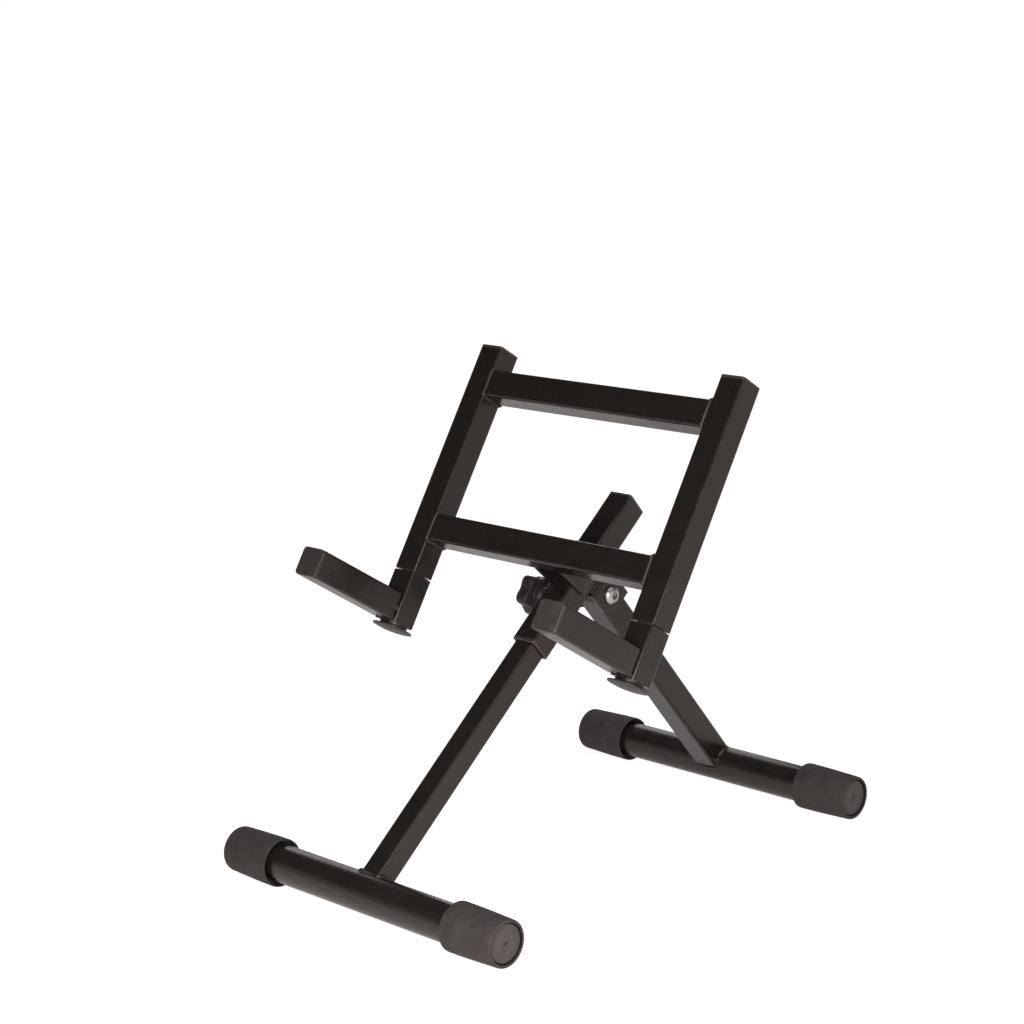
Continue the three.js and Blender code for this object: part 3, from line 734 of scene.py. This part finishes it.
def foot_cap():
    """A rubber cup along +z: a recess in its end, a rounded rim, a barrel that widens to the
    mouth, and a deep flared mouth round the tube."""
    end, bore, flare = CAP_LENGTH, FOOT_RADIUS + GAP / 2, FOOT_RADIUS + CAP_MOUTH_GAP
    recess = CAP_DISC_RADIUS + CAP_GROOVE
    return turned([
        (0, end - CAP_END, 0), (bore, end - CAP_END, 0.4),
        (bore, CAP_MOUTH_DEPTH + CAP_MOUTH_GAP, 0.8), (flare, CAP_MOUTH_DEPTH, 0.8),
        (flare, 0, 0.3), (flare + CAP_LIP, 0, 0.4), (CAP_MOUTH_RADIUS, CAP_SHOULDER, 0.9),
        (CAP_MOUTH_RADIUS - 0.2, 20, 6), (CAP_END_RADIUS, end, 2.2), (recess, end, 0.4),
        (recess, end - CAP_GROOVE_DEPTH, 0.3), (0, end - CAP_GROOVE_DEPTH, 0)])


def cap_disc():
    """The disc in the cap's end: a crowned face with a moulding dimple in its middle."""
    low, face = CAP_LENGTH - CAP_GROOVE_DEPTH + SKIN, CAP_LENGTH - CAP_DISC_DROP
    return turned([
        (0, low, 0), (CAP_DISC_RADIUS, low, 0.1), (CAP_DISC_RADIUS, face, 0.35),
        (8, face + 0.35, 4), (1.7, face + 0.4, 0.3), (1.3, face - 1.0, 0.3),
        (0, face - 1.1, 0)])


def cap_painted_shade():
    """Painted shade for the groove round the disc: a thin L-shaped ring of near-black rubber
    against its wall and floor, and a small round of the same in the disc's dimple."""
    inner, wall = CAP_DISC_RADIUS + SKIN, CAP_DISC_RADIUS + CAP_GROOVE - SKIN
    low, top = CAP_LENGTH - CAP_GROOVE_DEPTH + SKIN, CAP_LENGTH - 0.4
    face = CAP_LENGTH - CAP_DISC_DROP
    ring = shell([
        (inner, low, SKIN), (wall, low, SKIN), (wall, top, 0.05), (wall - 0.2, top, 0.05),
        (wall - 0.2, low + 0.2, SKIN), (inner, low + 0.2, SKIN)], round_section)
    dimple = turned([(0, face - 1.05, 0), (1.1, face - 0.95, 0.05), (1.1, face - 0.6, 0.05),
                     (0, face - 0.7, 0)])
    return ring, dimple


def foot(prefix, place, body):
    """A foot tube with a cap, a disc and the groove's painted shade on each end."""
    half = FOOT_LENGTH / 2 - CAP_END - GAP
    tube = shell(tube_corners(FOOT_RADIUS, FOOT_WALL, -half, half), round_section)
    piece(f"{prefix}_foot_tube_drawn", [moved(tube, along_x)], place, PAINT, body, "black_paint",
          f"{prefix}_foot_tube")
    for side, sign in SIDES:
        out = (sign * (FOOT_LENGTH / 2 - CAP_LENGTH), 0, 0)
        cap = f"{prefix}_foot_cap_{side}"
        piece(f"{cap}_moulded", [moved(foot_cap(), to_side(sign), out)], place, RUBBER,
              body, "foot_rubber", cap)
        piece(f"{cap}_disc", [moved(cap_disc(), to_side(sign), out)], place, RUBBER_DISC,
              body, "foot_rubber")
        # The near-black lining of the groove and dimple is painted shade.
        piece(f"{cap}_recess", [moved(patch, to_side(sign), out) for patch in cap_painted_shade()],
              place, PAINTED_SHADE_RUBBER, body, "foot_rubber")


foot("front", FRONT_FOOT, "front_leg")
foot("rear", REAR_FOOT, "rear_leg")

# ---------- front leg ----------
FRONT_WELD = 1.8
inner_top = OUTER_START + INNER_OVERLAP
piece("inner_leg_tube_coped", [square_tube(INNER_TUBE, INNER_CORNER, 0, inner_top, low=foot_curve)],
      FRONT_LEG, PAINT, "front_leg", "black_paint", "inner_leg_tube")
piece("front_leg_weld",
      [square_bead(INNER_HALF + 0.5, INNER_CORNER, FRONT_WELD, lambda y: foot_curve(y) + 0.1, 0.4)],
      FRONT_LEG, WELDS, "front_leg", "black_paint")
piece("outer_leg_tube_drawn", [square_tube(TUBE, TUBE_CORNER, OUTER_START, OUTER_END)],
      FRONT_LEG, PAINT, "frame", "black_paint", "outer_leg_tube")


def bush():
    """The guide bush: a sleeve in the outer tube and a lip with rounded edges below it."""
    hole, sleeve = INNER_HALF + GAP, HALF - TUBE_WALL - GAP
    return shell([
        (hole, COLLAR_START, 0.5), (HALF, COLLAR_START, 1.1), (HALF, OUTER_START - GAP, 0.4),
        (sleeve, OUTER_START - GAP, 0.1), (sleeve, OUTER_START + BUSH_DEPTH, 0.4),
        (hole, OUTER_START + BUSH_DEPTH, 0.4)], square_section(TUBE_CORNER, HALF))


piece("outer_leg_bush_moulded", [bush()], FRONT_LEG, PLASTIC, "frame", "black_plastic",
      "outer_leg_bush")
piece("outer_leg_plug_moulded",
      [moved(plug_shell(TUBE_CORNER, TOP_PLUG_DEPTH), by=(0, 0, OUTER_END + GAP))],
      FRONT_LEG, PLASTIC, "frame", "black_plastic", "outer_leg_plug")


def star_knob():
    """A hand knob along +z: a round hub, a lobed head with rounded rims and a sunk middle."""
    top = STAR_HUB + STAR_DEPTH
    return shell([
        (0, 0, 0), (STAR_HUB_RADIUS, 0, 0.6), (STAR_HUB_RADIUS, STAR_HUB - 0.3, 1.2),
        (STAR_RADIUS, STAR_HUB, 2.0), (STAR_RADIUS, top, 2.6), (9.5, top + 0.2, 1.0),
        (9.0, top - 0.9, 0.4), (0, top - 0.5, 0)], star_section, closed=False)


boss = ring_shell(HEIGHT_SCREW_RADIUS + RUN, BOSS_RADIUS, 0, BOSS_LENGTH, (0.2, 0.2, 1.0, 0.5))
piece("height_clamp_boss_turned", [moved(boss, to_side(-1), (-HALF - GAP, 0, CLAMP_Z))],
      FRONT_LEG, ZINC, "frame", "zinc_steel", "height_clamp_boss")
screw_end = INNER_HALF + GAP - HALF - BOSS_LENGTH - 3 * GAP
screw = turned([(0, screw_end, 0), (HEIGHT_SCREW_RADIUS, screw_end, 0.6),
                (HEIGHT_SCREW_RADIUS, 1, 0.1), (0, 1, 0)])
knob_place = (-HALF - BOSS_LENGTH - 2 * GAP, 0, CLAMP_Z)
piece("height_clamp_knob_moulded",
      [moved(patch, to_side(-1), knob_place) for patch in (star_knob(), screw)],
      FRONT_LEG, KNOB, "height_knob", "knob_plastic", "height_clamp_knob")


def ring_path(radius, x, y, z):
    """A circle round an axis along x, with outward and axial directions."""
    a = even_angles(CIRCLE_STEPS)
    out = np.stack([np.zeros_like(a), np.cos(a), np.sin(a)], -1)
    return np.array([x, y, z]) + radius * out, out, np.repeat([[1.0, 0, 0]], CIRCLE_STEPS, 0)


piece("height_clamp_weld",
      [bead(*ring_path(BOSS_RADIUS + 0.4, -HALF - BEAD_OVER, 0, CLAMP_Z), SIDE_BEAD, True, 0.8)],
      FRONT_LEG, WELDS, "frame", "black_paint")

# ---------- fold pivot ----------
EAR_BEND = 1.0
EAR_WORN = 0.9
# Steps up the quarter circle, up the straight edge, round the bend and along the ear.
QUARTER_STEPS, STRAIGHT_STEPS, BEND_STEPS, EAR_STEPS = 14, 6, 8, 12


def fold_bracket():
    """A bent sheet: two ears and a web between them. For each height the ear runs back from
    the web to the ear's end, which follows a quarter circle below the pivot; the wall is the
    same line moved in by the plate's thickness."""
    y0 = HALF + GAP - PIVOT_Y
    z = np.concatenate([-EAR_RADIUS * np.cos(np.linspace(0, np.pi / 2, QUARTER_STEPS)),
                        np.linspace(0, EAR_RADIUS, STRAIGHT_STEPS)[1:]])
    reach = np.where(z < 0, np.sqrt(np.clip(EAR_RADIUS**2 - z**2, 0, None)), EAR_RADIUS)
    bend = np.linspace(0, np.pi / 2, BEND_STEPS)
    ear = np.linspace(1, 0, EAR_STEPS)[:, None] * np.ones_like(z)[None]

    def line(half_width, face, radius):
        """One side of the sheet from ear end to ear end, at each height."""
        y_web = y0 + face
        ear_y = y_web + radius + ear * (reach[None] - y_web - radius)
        ear_x = np.full_like(ear_y, half_width)
        arc_x = (half_width - radius * (1 - np.cos(bend)))[:, None] * np.ones_like(z)[None]
        arc_y = (y_web + radius * (1 - np.sin(bend)))[:, None] * np.ones_like(z)[None]
        right = np.stack([np.concatenate([ear_x, arc_x]), np.concatenate([ear_y, arc_y])], -1)
        left = right[::-1] * np.array([-1.0, 1.0])
        return np.concatenate([right, left])

    outer, inner = line(EAR_OUT, 0, PLATE + EAR_BEND), line(EAR_IN, PLATE, EAR_BEND)
    loop = np.concatenate([outer, inner[::-1]])
    height = np.repeat(z[None], len(loop), 0)
    points = np.concatenate([loop, height[..., None]], -1).transpose(1, 0, 2)
    count = len(outer)
    lid = 0.5 * (points + points[:, ::-1])
    points = np.concatenate([lid[:1], points, lid[-1:]])
    edge = np.zeros(points.shape[:2])
    edge[:, [0, count - 1, count, 2 * count - 1]] = EAR_WORN
    edge[[1, -2]] = EAR_WORN
    return points, edge, False, True


stop = block(-EAR_OUT + 0.1, EAR_OUT - 0.1, HALF + GAP - PIVOT_Y + 0.1, EAR_RADIUS,
             EAR_RADIUS - PLATE, EAR_RADIUS)
piece("fold_bracket_bent",
      [moved(patch, by=(0, PIVOT_Y, PIVOT_Z)) for patch in (fold_bracket(), stop)],
      FRONT_LEG, PAINT, "frame", "black_paint", "fold_bracket")
bracket_weld = EAR_RADIUS - 3
piece("fold_bracket_welds",
      [straight_bead((s * (HALF - 0.4), HALF + BEAD_OVER, PIVOT_Z - bracket_weld),
                     (s * (HALF - 0.4), HALF + BEAD_OVER, PIVOT_Z + bracket_weld),
                     (s, 0.6, 0), SIDE_BEAD, 0.5 + s) for s in (-1, 1)],
      FRONT_LEG, WELDS, "frame", "black_paint")


def bolt_section(out):
    """Circles, but hexagons inside the socket: the radius is r / cos of the angle to the
    nearest flat."""
    flat = np.mod(even_angles(ROUND_STEPS), np.pi / 3) - np.pi / 6
    hexed = (out <= HEX_SOCKET)[:, None]
    return rings(np.where(hexed, out[:, None] / np.cos(flat)[None], out[:, None]))


bolt_end = EAR_OUT + STAR_HUB + BOLT_IN_KNOB
bolt = shell([
    (0, -bolt_end, 0), (PIVOT_BOLT_RADIUS, -bolt_end, 0.6), (PIVOT_BOLT_RADIUS, EAR_OUT + GAP, 0.2),
    (BOLT_HEAD_RADIUS, EAR_OUT + GAP, 0.3), (BOLT_HEAD_RADIUS, EAR_OUT + 1.8, 0.8),
    (BOLT_HEAD_RADIUS - 1.7, EAR_OUT + 4.0, 1.4),
    (3.7, EAR_OUT + BOLT_HEAD, 0.8), (HEX_SOCKET, EAR_OUT + BOLT_HEAD - 0.3, 0),
    (HEX_SOCKET, EAR_OUT + 2.2, 0), (0, EAR_OUT + 1.8, 0)], bolt_section, closed=False)
piece("pivot_bolt_turned", [moved(bolt, along_x, (0, PIVOT_Y, PIVOT_Z))],
      FRONT_LEG, ZINC, "frame", "zinc_steel", "pivot_bolt")
piece("pivot_knob_moulded", [moved(star_knob(), to_side(-1), (-EAR_OUT - GAP, PIVOT_Y, PIVOT_Z))],
      FRONT_LEG, KNOB, "pivot_knob", "knob_plastic", "pivot_knob")

# ---------- rear leg ----------
REAR_FILLET = 0.7
# Each stitch: its lower and upper y on the coped edge and its radius.
REAR_STITCHES = ((-2.5, 9.5, 1.45), (-11.6, -9.4, 1.1))
piece("rear_leg_tube_coped",
      [square_tube(TUBE, TUBE_CORNER, 0, REAR_LEG_LENGTH, low=foot_curve, high=nose_curve)],
      REAR_LEG, PAINT, "rear_leg", "black_paint", "rear_leg_tube")
piece("rear_leg_weld",
      [square_bead(HALF + 0.1, TUBE_CORNER, REAR_FILLET, lambda y: foot_curve(y) + 0.1, 2.1)],
      REAR_LEG, PAINT, "rear_leg", "black_paint")
piece("rear_leg_stitches",
      [side_stitch(sign, low, high, radius, low) for sign in (-1, 1)
       for low, high, radius in REAR_STITCHES],
      REAR_LEG, WELDS, "rear_leg", "black_paint")
for side, sign in SIDES:
    washer = ring_shell(PIVOT_BOLT_RADIUS + RUN, WASHER_RADIUS, GAP, GAP + WASHER,
                        (0.1, 0.3, 0.3, 0.1))
    piece(f"pivot_washer_{side}_cut",
          [moved(washer, to_side(sign), (sign * HALF, 0, REAR_LEG_LENGTH))],
          REAR_LEG, NYLON, "rear_leg", "white_nylon", f"pivot_washer_{side}")

# ---------- back frame ----------
bar_length = ARM_SPACING - TUBE - 2 * GAP
for name, z in (("lower_crossbar", LOWER_BAR_Z), ("upper_crossbar", UPPER_BAR_Z)):
    bar = square_tube(TUBE, TUBE_CORNER, -bar_length / 2, bar_length / 2)
    piece(f"{name}_drawn", [moved(bar, along_x, (0, HALF, z))], BACK_FRAME, PAINT, "frame",
          "black_paint", name)
    beads = [moved(square_bead(HALF + BEAD_OVER, TUBE_CORNER, BAR_BEAD, np.zeros_like, 0.7 + z + s),
                   along_x, (s * (bar_length / 2 + 0.1), HALF, z)) for s in (-1, 1)]
    piece(f"{name}_welds", beads, BACK_FRAME, WELDS, "frame", "black_paint")


def gusset_outline():
    """The gusset's corners in the back frame: on the crossbar's rear face, and on the leg's
    side, whose axis is the line from the front foot at the leg's angle."""
    lean = math.radians(90 - FRONT_LEG_ANGLE - BACK_TILT)
    c, s = math.cos(math.radians(BACK_TILT)), math.sin(math.radians(BACK_TILT))
    foot_y, foot_z = -FOOT_SPACING / 2 - CORNER_Y, FOOT_HEIGHT - CORNER_Z
    leg_y, leg_z = foot_y * c - foot_z * s, foot_y * s + foot_z * c

    def axis(z):
        """The leg axis's y at a height."""
        return leg_y + (z - leg_z) * math.tan(lean)

    low, high = LOWER_BAR_Z - HALF, LOWER_BAR_Z + HALF
    bottom, top = low - GUSSET_BELOW, high + GUSSET_ABOVE
    corners = [(TUBE + GAP, low), (axis(bottom) + GUSSET_PAST_AXIS, bottom),
               (axis(top) + GUSSET_PAST_AXIS, top), (axis(top) - HALF + GUSSET_EDGE, top),
               (TUBE + GAP, high)]
    return [(y, z, 1.2) for y, z in corners]


outline = gusset_outline()
for side, x in (("left", -HALF - GAP - PLATE), ("right", HALF + GAP)):
    piece(f"gusset_{side}_cut", [moved(sheet_shell(outline, PLATE), by=(x, 0, 0))], BACK_FRAME,
          PAINT, "frame", "black_paint", f"gusset_{side}")
gusset_beads = []
(y1, z1, _), (y2, z2, _) = outline[1], outline[2]
rear = TUBE + BEAD_OVER
for s in (-1, 1):
    # Each weld: how far it lies in from the plate's face, its two ends and its seed.
    for inset, start, end, seed in (
            (2.4, (y1 + 0.2, z1 + 2), (y2 + 0.2, z2 - 2), 1.1),
            (0.2, (rear, outline[0][1] + 2), (rear, outline[4][1] - 2), 2.2)):
        x = s * (HALF + GAP + PLATE) - s * inset
        gusset_beads.append(
            straight_bead((x, *start), (x, *end), (s, 0.5, 0), SIDE_BEAD, seed + s))
piece("gusset_welds", gusset_beads, BACK_FRAME, WELDS, "frame", "black_paint")

# ---------- uprights and swivel arms ----------
WASHER_Z = -TUBE - GAP
KNOB_Z = WASHER_Z - CLAMP_WASHER - GAP
POST_TOP = UPRIGHT_START - SWIVEL_WASHER - 2 * GAP


def clamp_knob():
    """A spool: a neck, a thin flange with rounded rims and a domed underside."""
    low = -KNOB_NECK - KNOB_RIM
    return turned([
        (0, 0, 0), (KNOB_NECK_RADIUS, 0, 0.3), (KNOB_NECK_RADIUS, -KNOB_NECK, 0.8),
        (KNOB_FLANGE_RADIUS, -KNOB_NECK, 0.45), (KNOB_FLANGE_RADIUS, low, 0.5),
        (KNOB_NECK_RADIUS, low - KNOB_DOME_EDGE, 5), (0, low - KNOB_DOME, 0)])


TACK_RINGS, TACK_AROUND, TACK_WORN = 14, 24, 0.3


def tack(x, y, z, size):
    """A weld tack: a squashed ball whose radius ripples a little round its axis."""
    u = np.linspace(0, np.pi, TACK_RINGS)[:, None]
    v = even_angles(TACK_AROUND)[None]
    swell = 1 + 0.06 * np.cos(3 * v + 1) * np.sin(u) + 0.05 * np.sin(4 * u)
    points = np.stack([size[0] * swell * np.cos(u) * np.ones_like(v),
                       size[1] * swell * np.sin(u) * np.cos(v),
                       size[2] * swell * np.sin(u) * np.sin(v)], -1)
    edge = np.full((TACK_RINGS, TACK_AROUND), TACK_WORN)
    return points + np.array([x, y, z]), edge, False, True


for side, sign in SIDES:
    x = sign * UPRIGHT_X
    arm = f"arm_{side}"
    arm_length = ARM_REACH - CAP_FLANGE - GAP - ARM_GAP
    piece(f"upright_{side}_drawn",
          [moved(square_tube(TUBE, TUBE_CORNER, 0, UPRIGHT_LENGTH), by=(x, HALF, UPRIGHT_START))],
          BACK_FRAME, PAINT, "frame", "black_paint", f"upright_{side}")
    plug = plug_shell(TUBE_CORNER, PLUG_DEPTH)
    piece(f"upright_cap_{side}_moulded", [moved(plug, by=(x, HALF, UPRIGHT_TOP + GAP))], BACK_FRAME,
          PLASTIC, "frame", "black_plastic", f"upright_cap_{side}")
    piece(f"arm_tube_{side}_drawn",
          [moved(square_tube(TUBE, TUBE_CORNER, 0, arm_length), along_back, (x, -ARM_GAP, -HALF))],
          BACK_FRAME, PAINT, arm, "black_paint", f"arm_tube_{side}")
    piece(f"arm_plug_{side}_moulded",
          [moved(plug_shell(ARM_PLUG_CORNER, PLUG_DEPTH), along_back,
                 (x, CAP_FLANGE - ARM_REACH, -HALF))],
          BACK_FRAME, PLASTIC, arm, "black_plastic", f"arm_plug_{side}")
    joint_low, sill_half = -TUBE + JOINT_UP, HALF - JOINT_SILL_INSET
    sill = block(-sill_half, sill_half, GAP - ARM_GAP, -GAP, joint_low, -TUBE + JOINT_SILL_HEIGHT)
    tongue = block(-JOINT_TONGUE / 2, JOINT_TONGUE / 2, GAP - ARM_GAP, -GAP, joint_low,
                   -JOINT_TONGUE_DROP)
    bridge = tack(-sign * (HALF - 1.2), -ARM_GAP / 2, -HALF - 1, (1.5, 2.3, 2.6))
    under_end = HALF - 3
    under = straight_bead((-under_end, -ARM_GAP / 2, -TUBE + 0.9),
                          (under_end, -ARM_GAP / 2, -TUBE + 0.9), (0, 0, -1), UNDER_BEAD, 0.9)
    piece(f"arm_joint_{side}_welded",
          [moved(patch, by=(x, 0, 0)) for patch in (sill, tongue, bridge, under)],
          BACK_FRAME, PAINT, arm, "black_paint", f"arm_joint_plate_{side}")
    piece(f"swivel_post_{side}_drawn",
          [moved(square_tube(TUBE, TUBE_CORNER, -TUBE, POST_TOP), by=(x, HALF, 0))],
          BACK_FRAME, PAINT, arm, "black_paint", f"swivel_post_{side}")
    ring = ring_shell(STUD_RADIUS + RUN, WASHER_RADIUS, 0, SWIVEL_WASHER, (0.1, 0.25, 0.25, 0.1))
    piece(f"swivel_washer_{side}_cut", [moved(ring, by=(x, HALF, POST_TOP + GAP))], BACK_FRAME,
          PLASTIC, arm, "black_plastic", f"swivel_washer_{side}")
    disc = ring_shell(STUD_RADIUS + RUN, CLAMP_WASHER_RADIUS, -CLAMP_WASHER, 0,
                      (0.2, 0.4, 0.4, 0.2))
    piece(f"clamp_washer_{side}_cut", [moved(disc, by=(x, HALF, WASHER_Z))], BACK_FRAME, OXIDE, arm,
          "black_steel", f"clamp_washer_{side}")
    piece(f"clamp_knob_{side}_moulded", [moved(clamp_knob(), by=(x, HALF, KNOB_Z))], BACK_FRAME,
          KNOB, f"arm_knob_{side}", "knob_plastic", f"clamp_knob_{side}")

CARRIED_OVER = {
    "inner_leg_glide": NYLON, "pivot_sleeve": ZINC,
    "upright_insert_left": ZINC, "upright_insert_right": ZINC,
    "swivel_stud_left": ZINC, "swivel_stud_right": ZINC,
    "swivel_bush_low_left": NYLON, "swivel_bush_low_right": NYLON,
    "swivel_bush_top_left": NYLON, "swivel_bush_top_right": NYLON,
}
for name, material in CARRIED_OVER.items():
    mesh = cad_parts[name].data
    mesh.materials.clear()
    mesh.materials.append(material)

# ---------- floor, world and lamps ----------
FLOOR_SIZE = 60.0
FLOOR_COLOUR = (0.82, 0.765, 0.745)
FLOOR_ROUGHNESS = 0.9
FLOOR_LIFT = 0.80
FLOOR_LIFT_REFLECTED = 0.36
WORLD_COLOUR = (1.0, 0.91, 0.88)
WORLD_LOW = 0.55
WORLD_HIGH = 0.05
BAND_LOW = 0.10
BAND_HIGH = 0.36


def make_floor():
    """A flat pale floor. For the camera and in reflections it carries some light of its own,
    so that it is white where nothing shades it."""
    mesh = bpy.data.meshes.new("floor")
    h = FLOOR_SIZE / 2
    mesh.from_pydata([(-h, -h, 0), (h, -h, 0), (h, h, 0), (-h, h, 0)], [], [(0, 1, 2, 3)])
    material, tree, shader = new_material("floor")
    rays = node(tree, "LightPath").outputs
    mirrored = arithmetic(tree, "MAXIMUM", rays["Is Glossy Ray"], rays["Is Transmission Ray"])
    mirrored = arithmetic(tree, "MULTIPLY", mirrored, FLOOR_LIFT_REFLECTED)
    seen = arithmetic(tree, "MULTIPLY", rays["Is Camera Ray"], FLOOR_LIFT)
    feed(tree, shader, {
        "Base Color": FLOOR_COLOUR, "Roughness": FLOOR_ROUGHNESS, "Specular IOR Level": 0.0,
        "Emission Color": WHITE, "Emission Strength": arithmetic(tree, "ADD", seen, mirrored)})
    mesh.materials.append(material)
    floor = linked("floor", mesh)


def make_world():
    """White for the camera. For everything else a pale band at the horizon that darkens
    upwards, as a studio wall under a dark ceiling does."""
    world = bpy.data.worlds.new("studio")
    bpy.context.scene.world = world
    world.use_nodes = True
    tree = world.node_tree
    background = tree.nodes["Background"]
    direction = node(tree, "SeparateXYZ", {0: node(tree, "TexCoord").outputs["Generated"]})
    level = spread(tree, direction.outputs["Z"], BAND_LOW, BAND_HIGH, WORLD_LOW, WORLD_HIGH)
    seen = node(tree, "LightPath").outputs["Is Camera Ray"]
    hue = node(tree, "Mix", {"Factor": seen, 6: WORLD_COLOUR, 7: WHITE}, data_type="RGBA")
    feed(tree, background, {"Strength": arithmetic(tree, "MAXIMUM", level, seen),
                            "Color": hue.outputs[2]})


def hung(name, data, place, towards):
    """A lamp at a place, turned to shine the given way."""
    made = linked(name, data)
    made.location = place
    made.rotation_mode = "QUATERNION"
    made.rotation_quaternion = Vector(towards).to_track_quat("-Z", "Y")
    return made


def sun(name, azimuth, elevation, strength, angle):
    """A far lamp that shines from the azimuth (0 is the front, 90 the right) and elevation;
    its angular size softens the shadows as a wide softbox does."""
    a, e = math.radians(azimuth), math.radians(elevation)
    data = bpy.data.lights.new(name, "SUN")
    data.energy, data.angle = strength, math.radians(angle)
    towards = (-math.sin(a) * math.cos(e), math.cos(a) * math.cos(e), -math.sin(e))
    hung(name, data, SUN_PLACE, towards)


def softbox(name, place, aim, power, width, height):
    """A near lamp of the given size whose light falls off across the stand."""
    data = bpy.data.lights.new(name, "AREA")
    data.shape, data.size, data.size_y, data.energy = "RECTANGLE", width, height, power
    made = hung(name, data, place, [b - a for a, b in zip(place, aim)])
    made.visible_camera = False
    return made


SUN_PLACE = (0, 0, 2)
# Suns: azimuth and elevation in degrees, strength, angular size in degrees.
SUNS = {"top_light": (100, 74, 0.7, 50), "side_light": (90, 14, 0.5, 60)}
# Softboxes: place and aim in metres, power in watts, width and height in metres. The rim
# lights only show in reflections.
FRONT_LIGHT = ((0.66, -0.82, 0.44), (0, -0.05, 0.05), 11.8, 0.5, 0.45)
RIM_LIGHTS = {
    "rim_light": ((-0.68, 0.62, 0.39), (0.1, 0.52, 0.2), 1.2, 1.0, 0.22),
    "rear_rim_light": ((-0.49, 0.68, 0.58), (0.06, 0.22, 0.04), 0.42, 0.3, 0.32),
}

make_floor()
make_world()
for name, values in SUNS.items():
    sun(name, *values)
softbox("front_light", *FRONT_LIGHT)
for name, values in RIM_LIGHTS.items():
    softbox(name, *values).visible_diffuse = False

bpy.context.scene.view_settings.view_transform = "Standard"
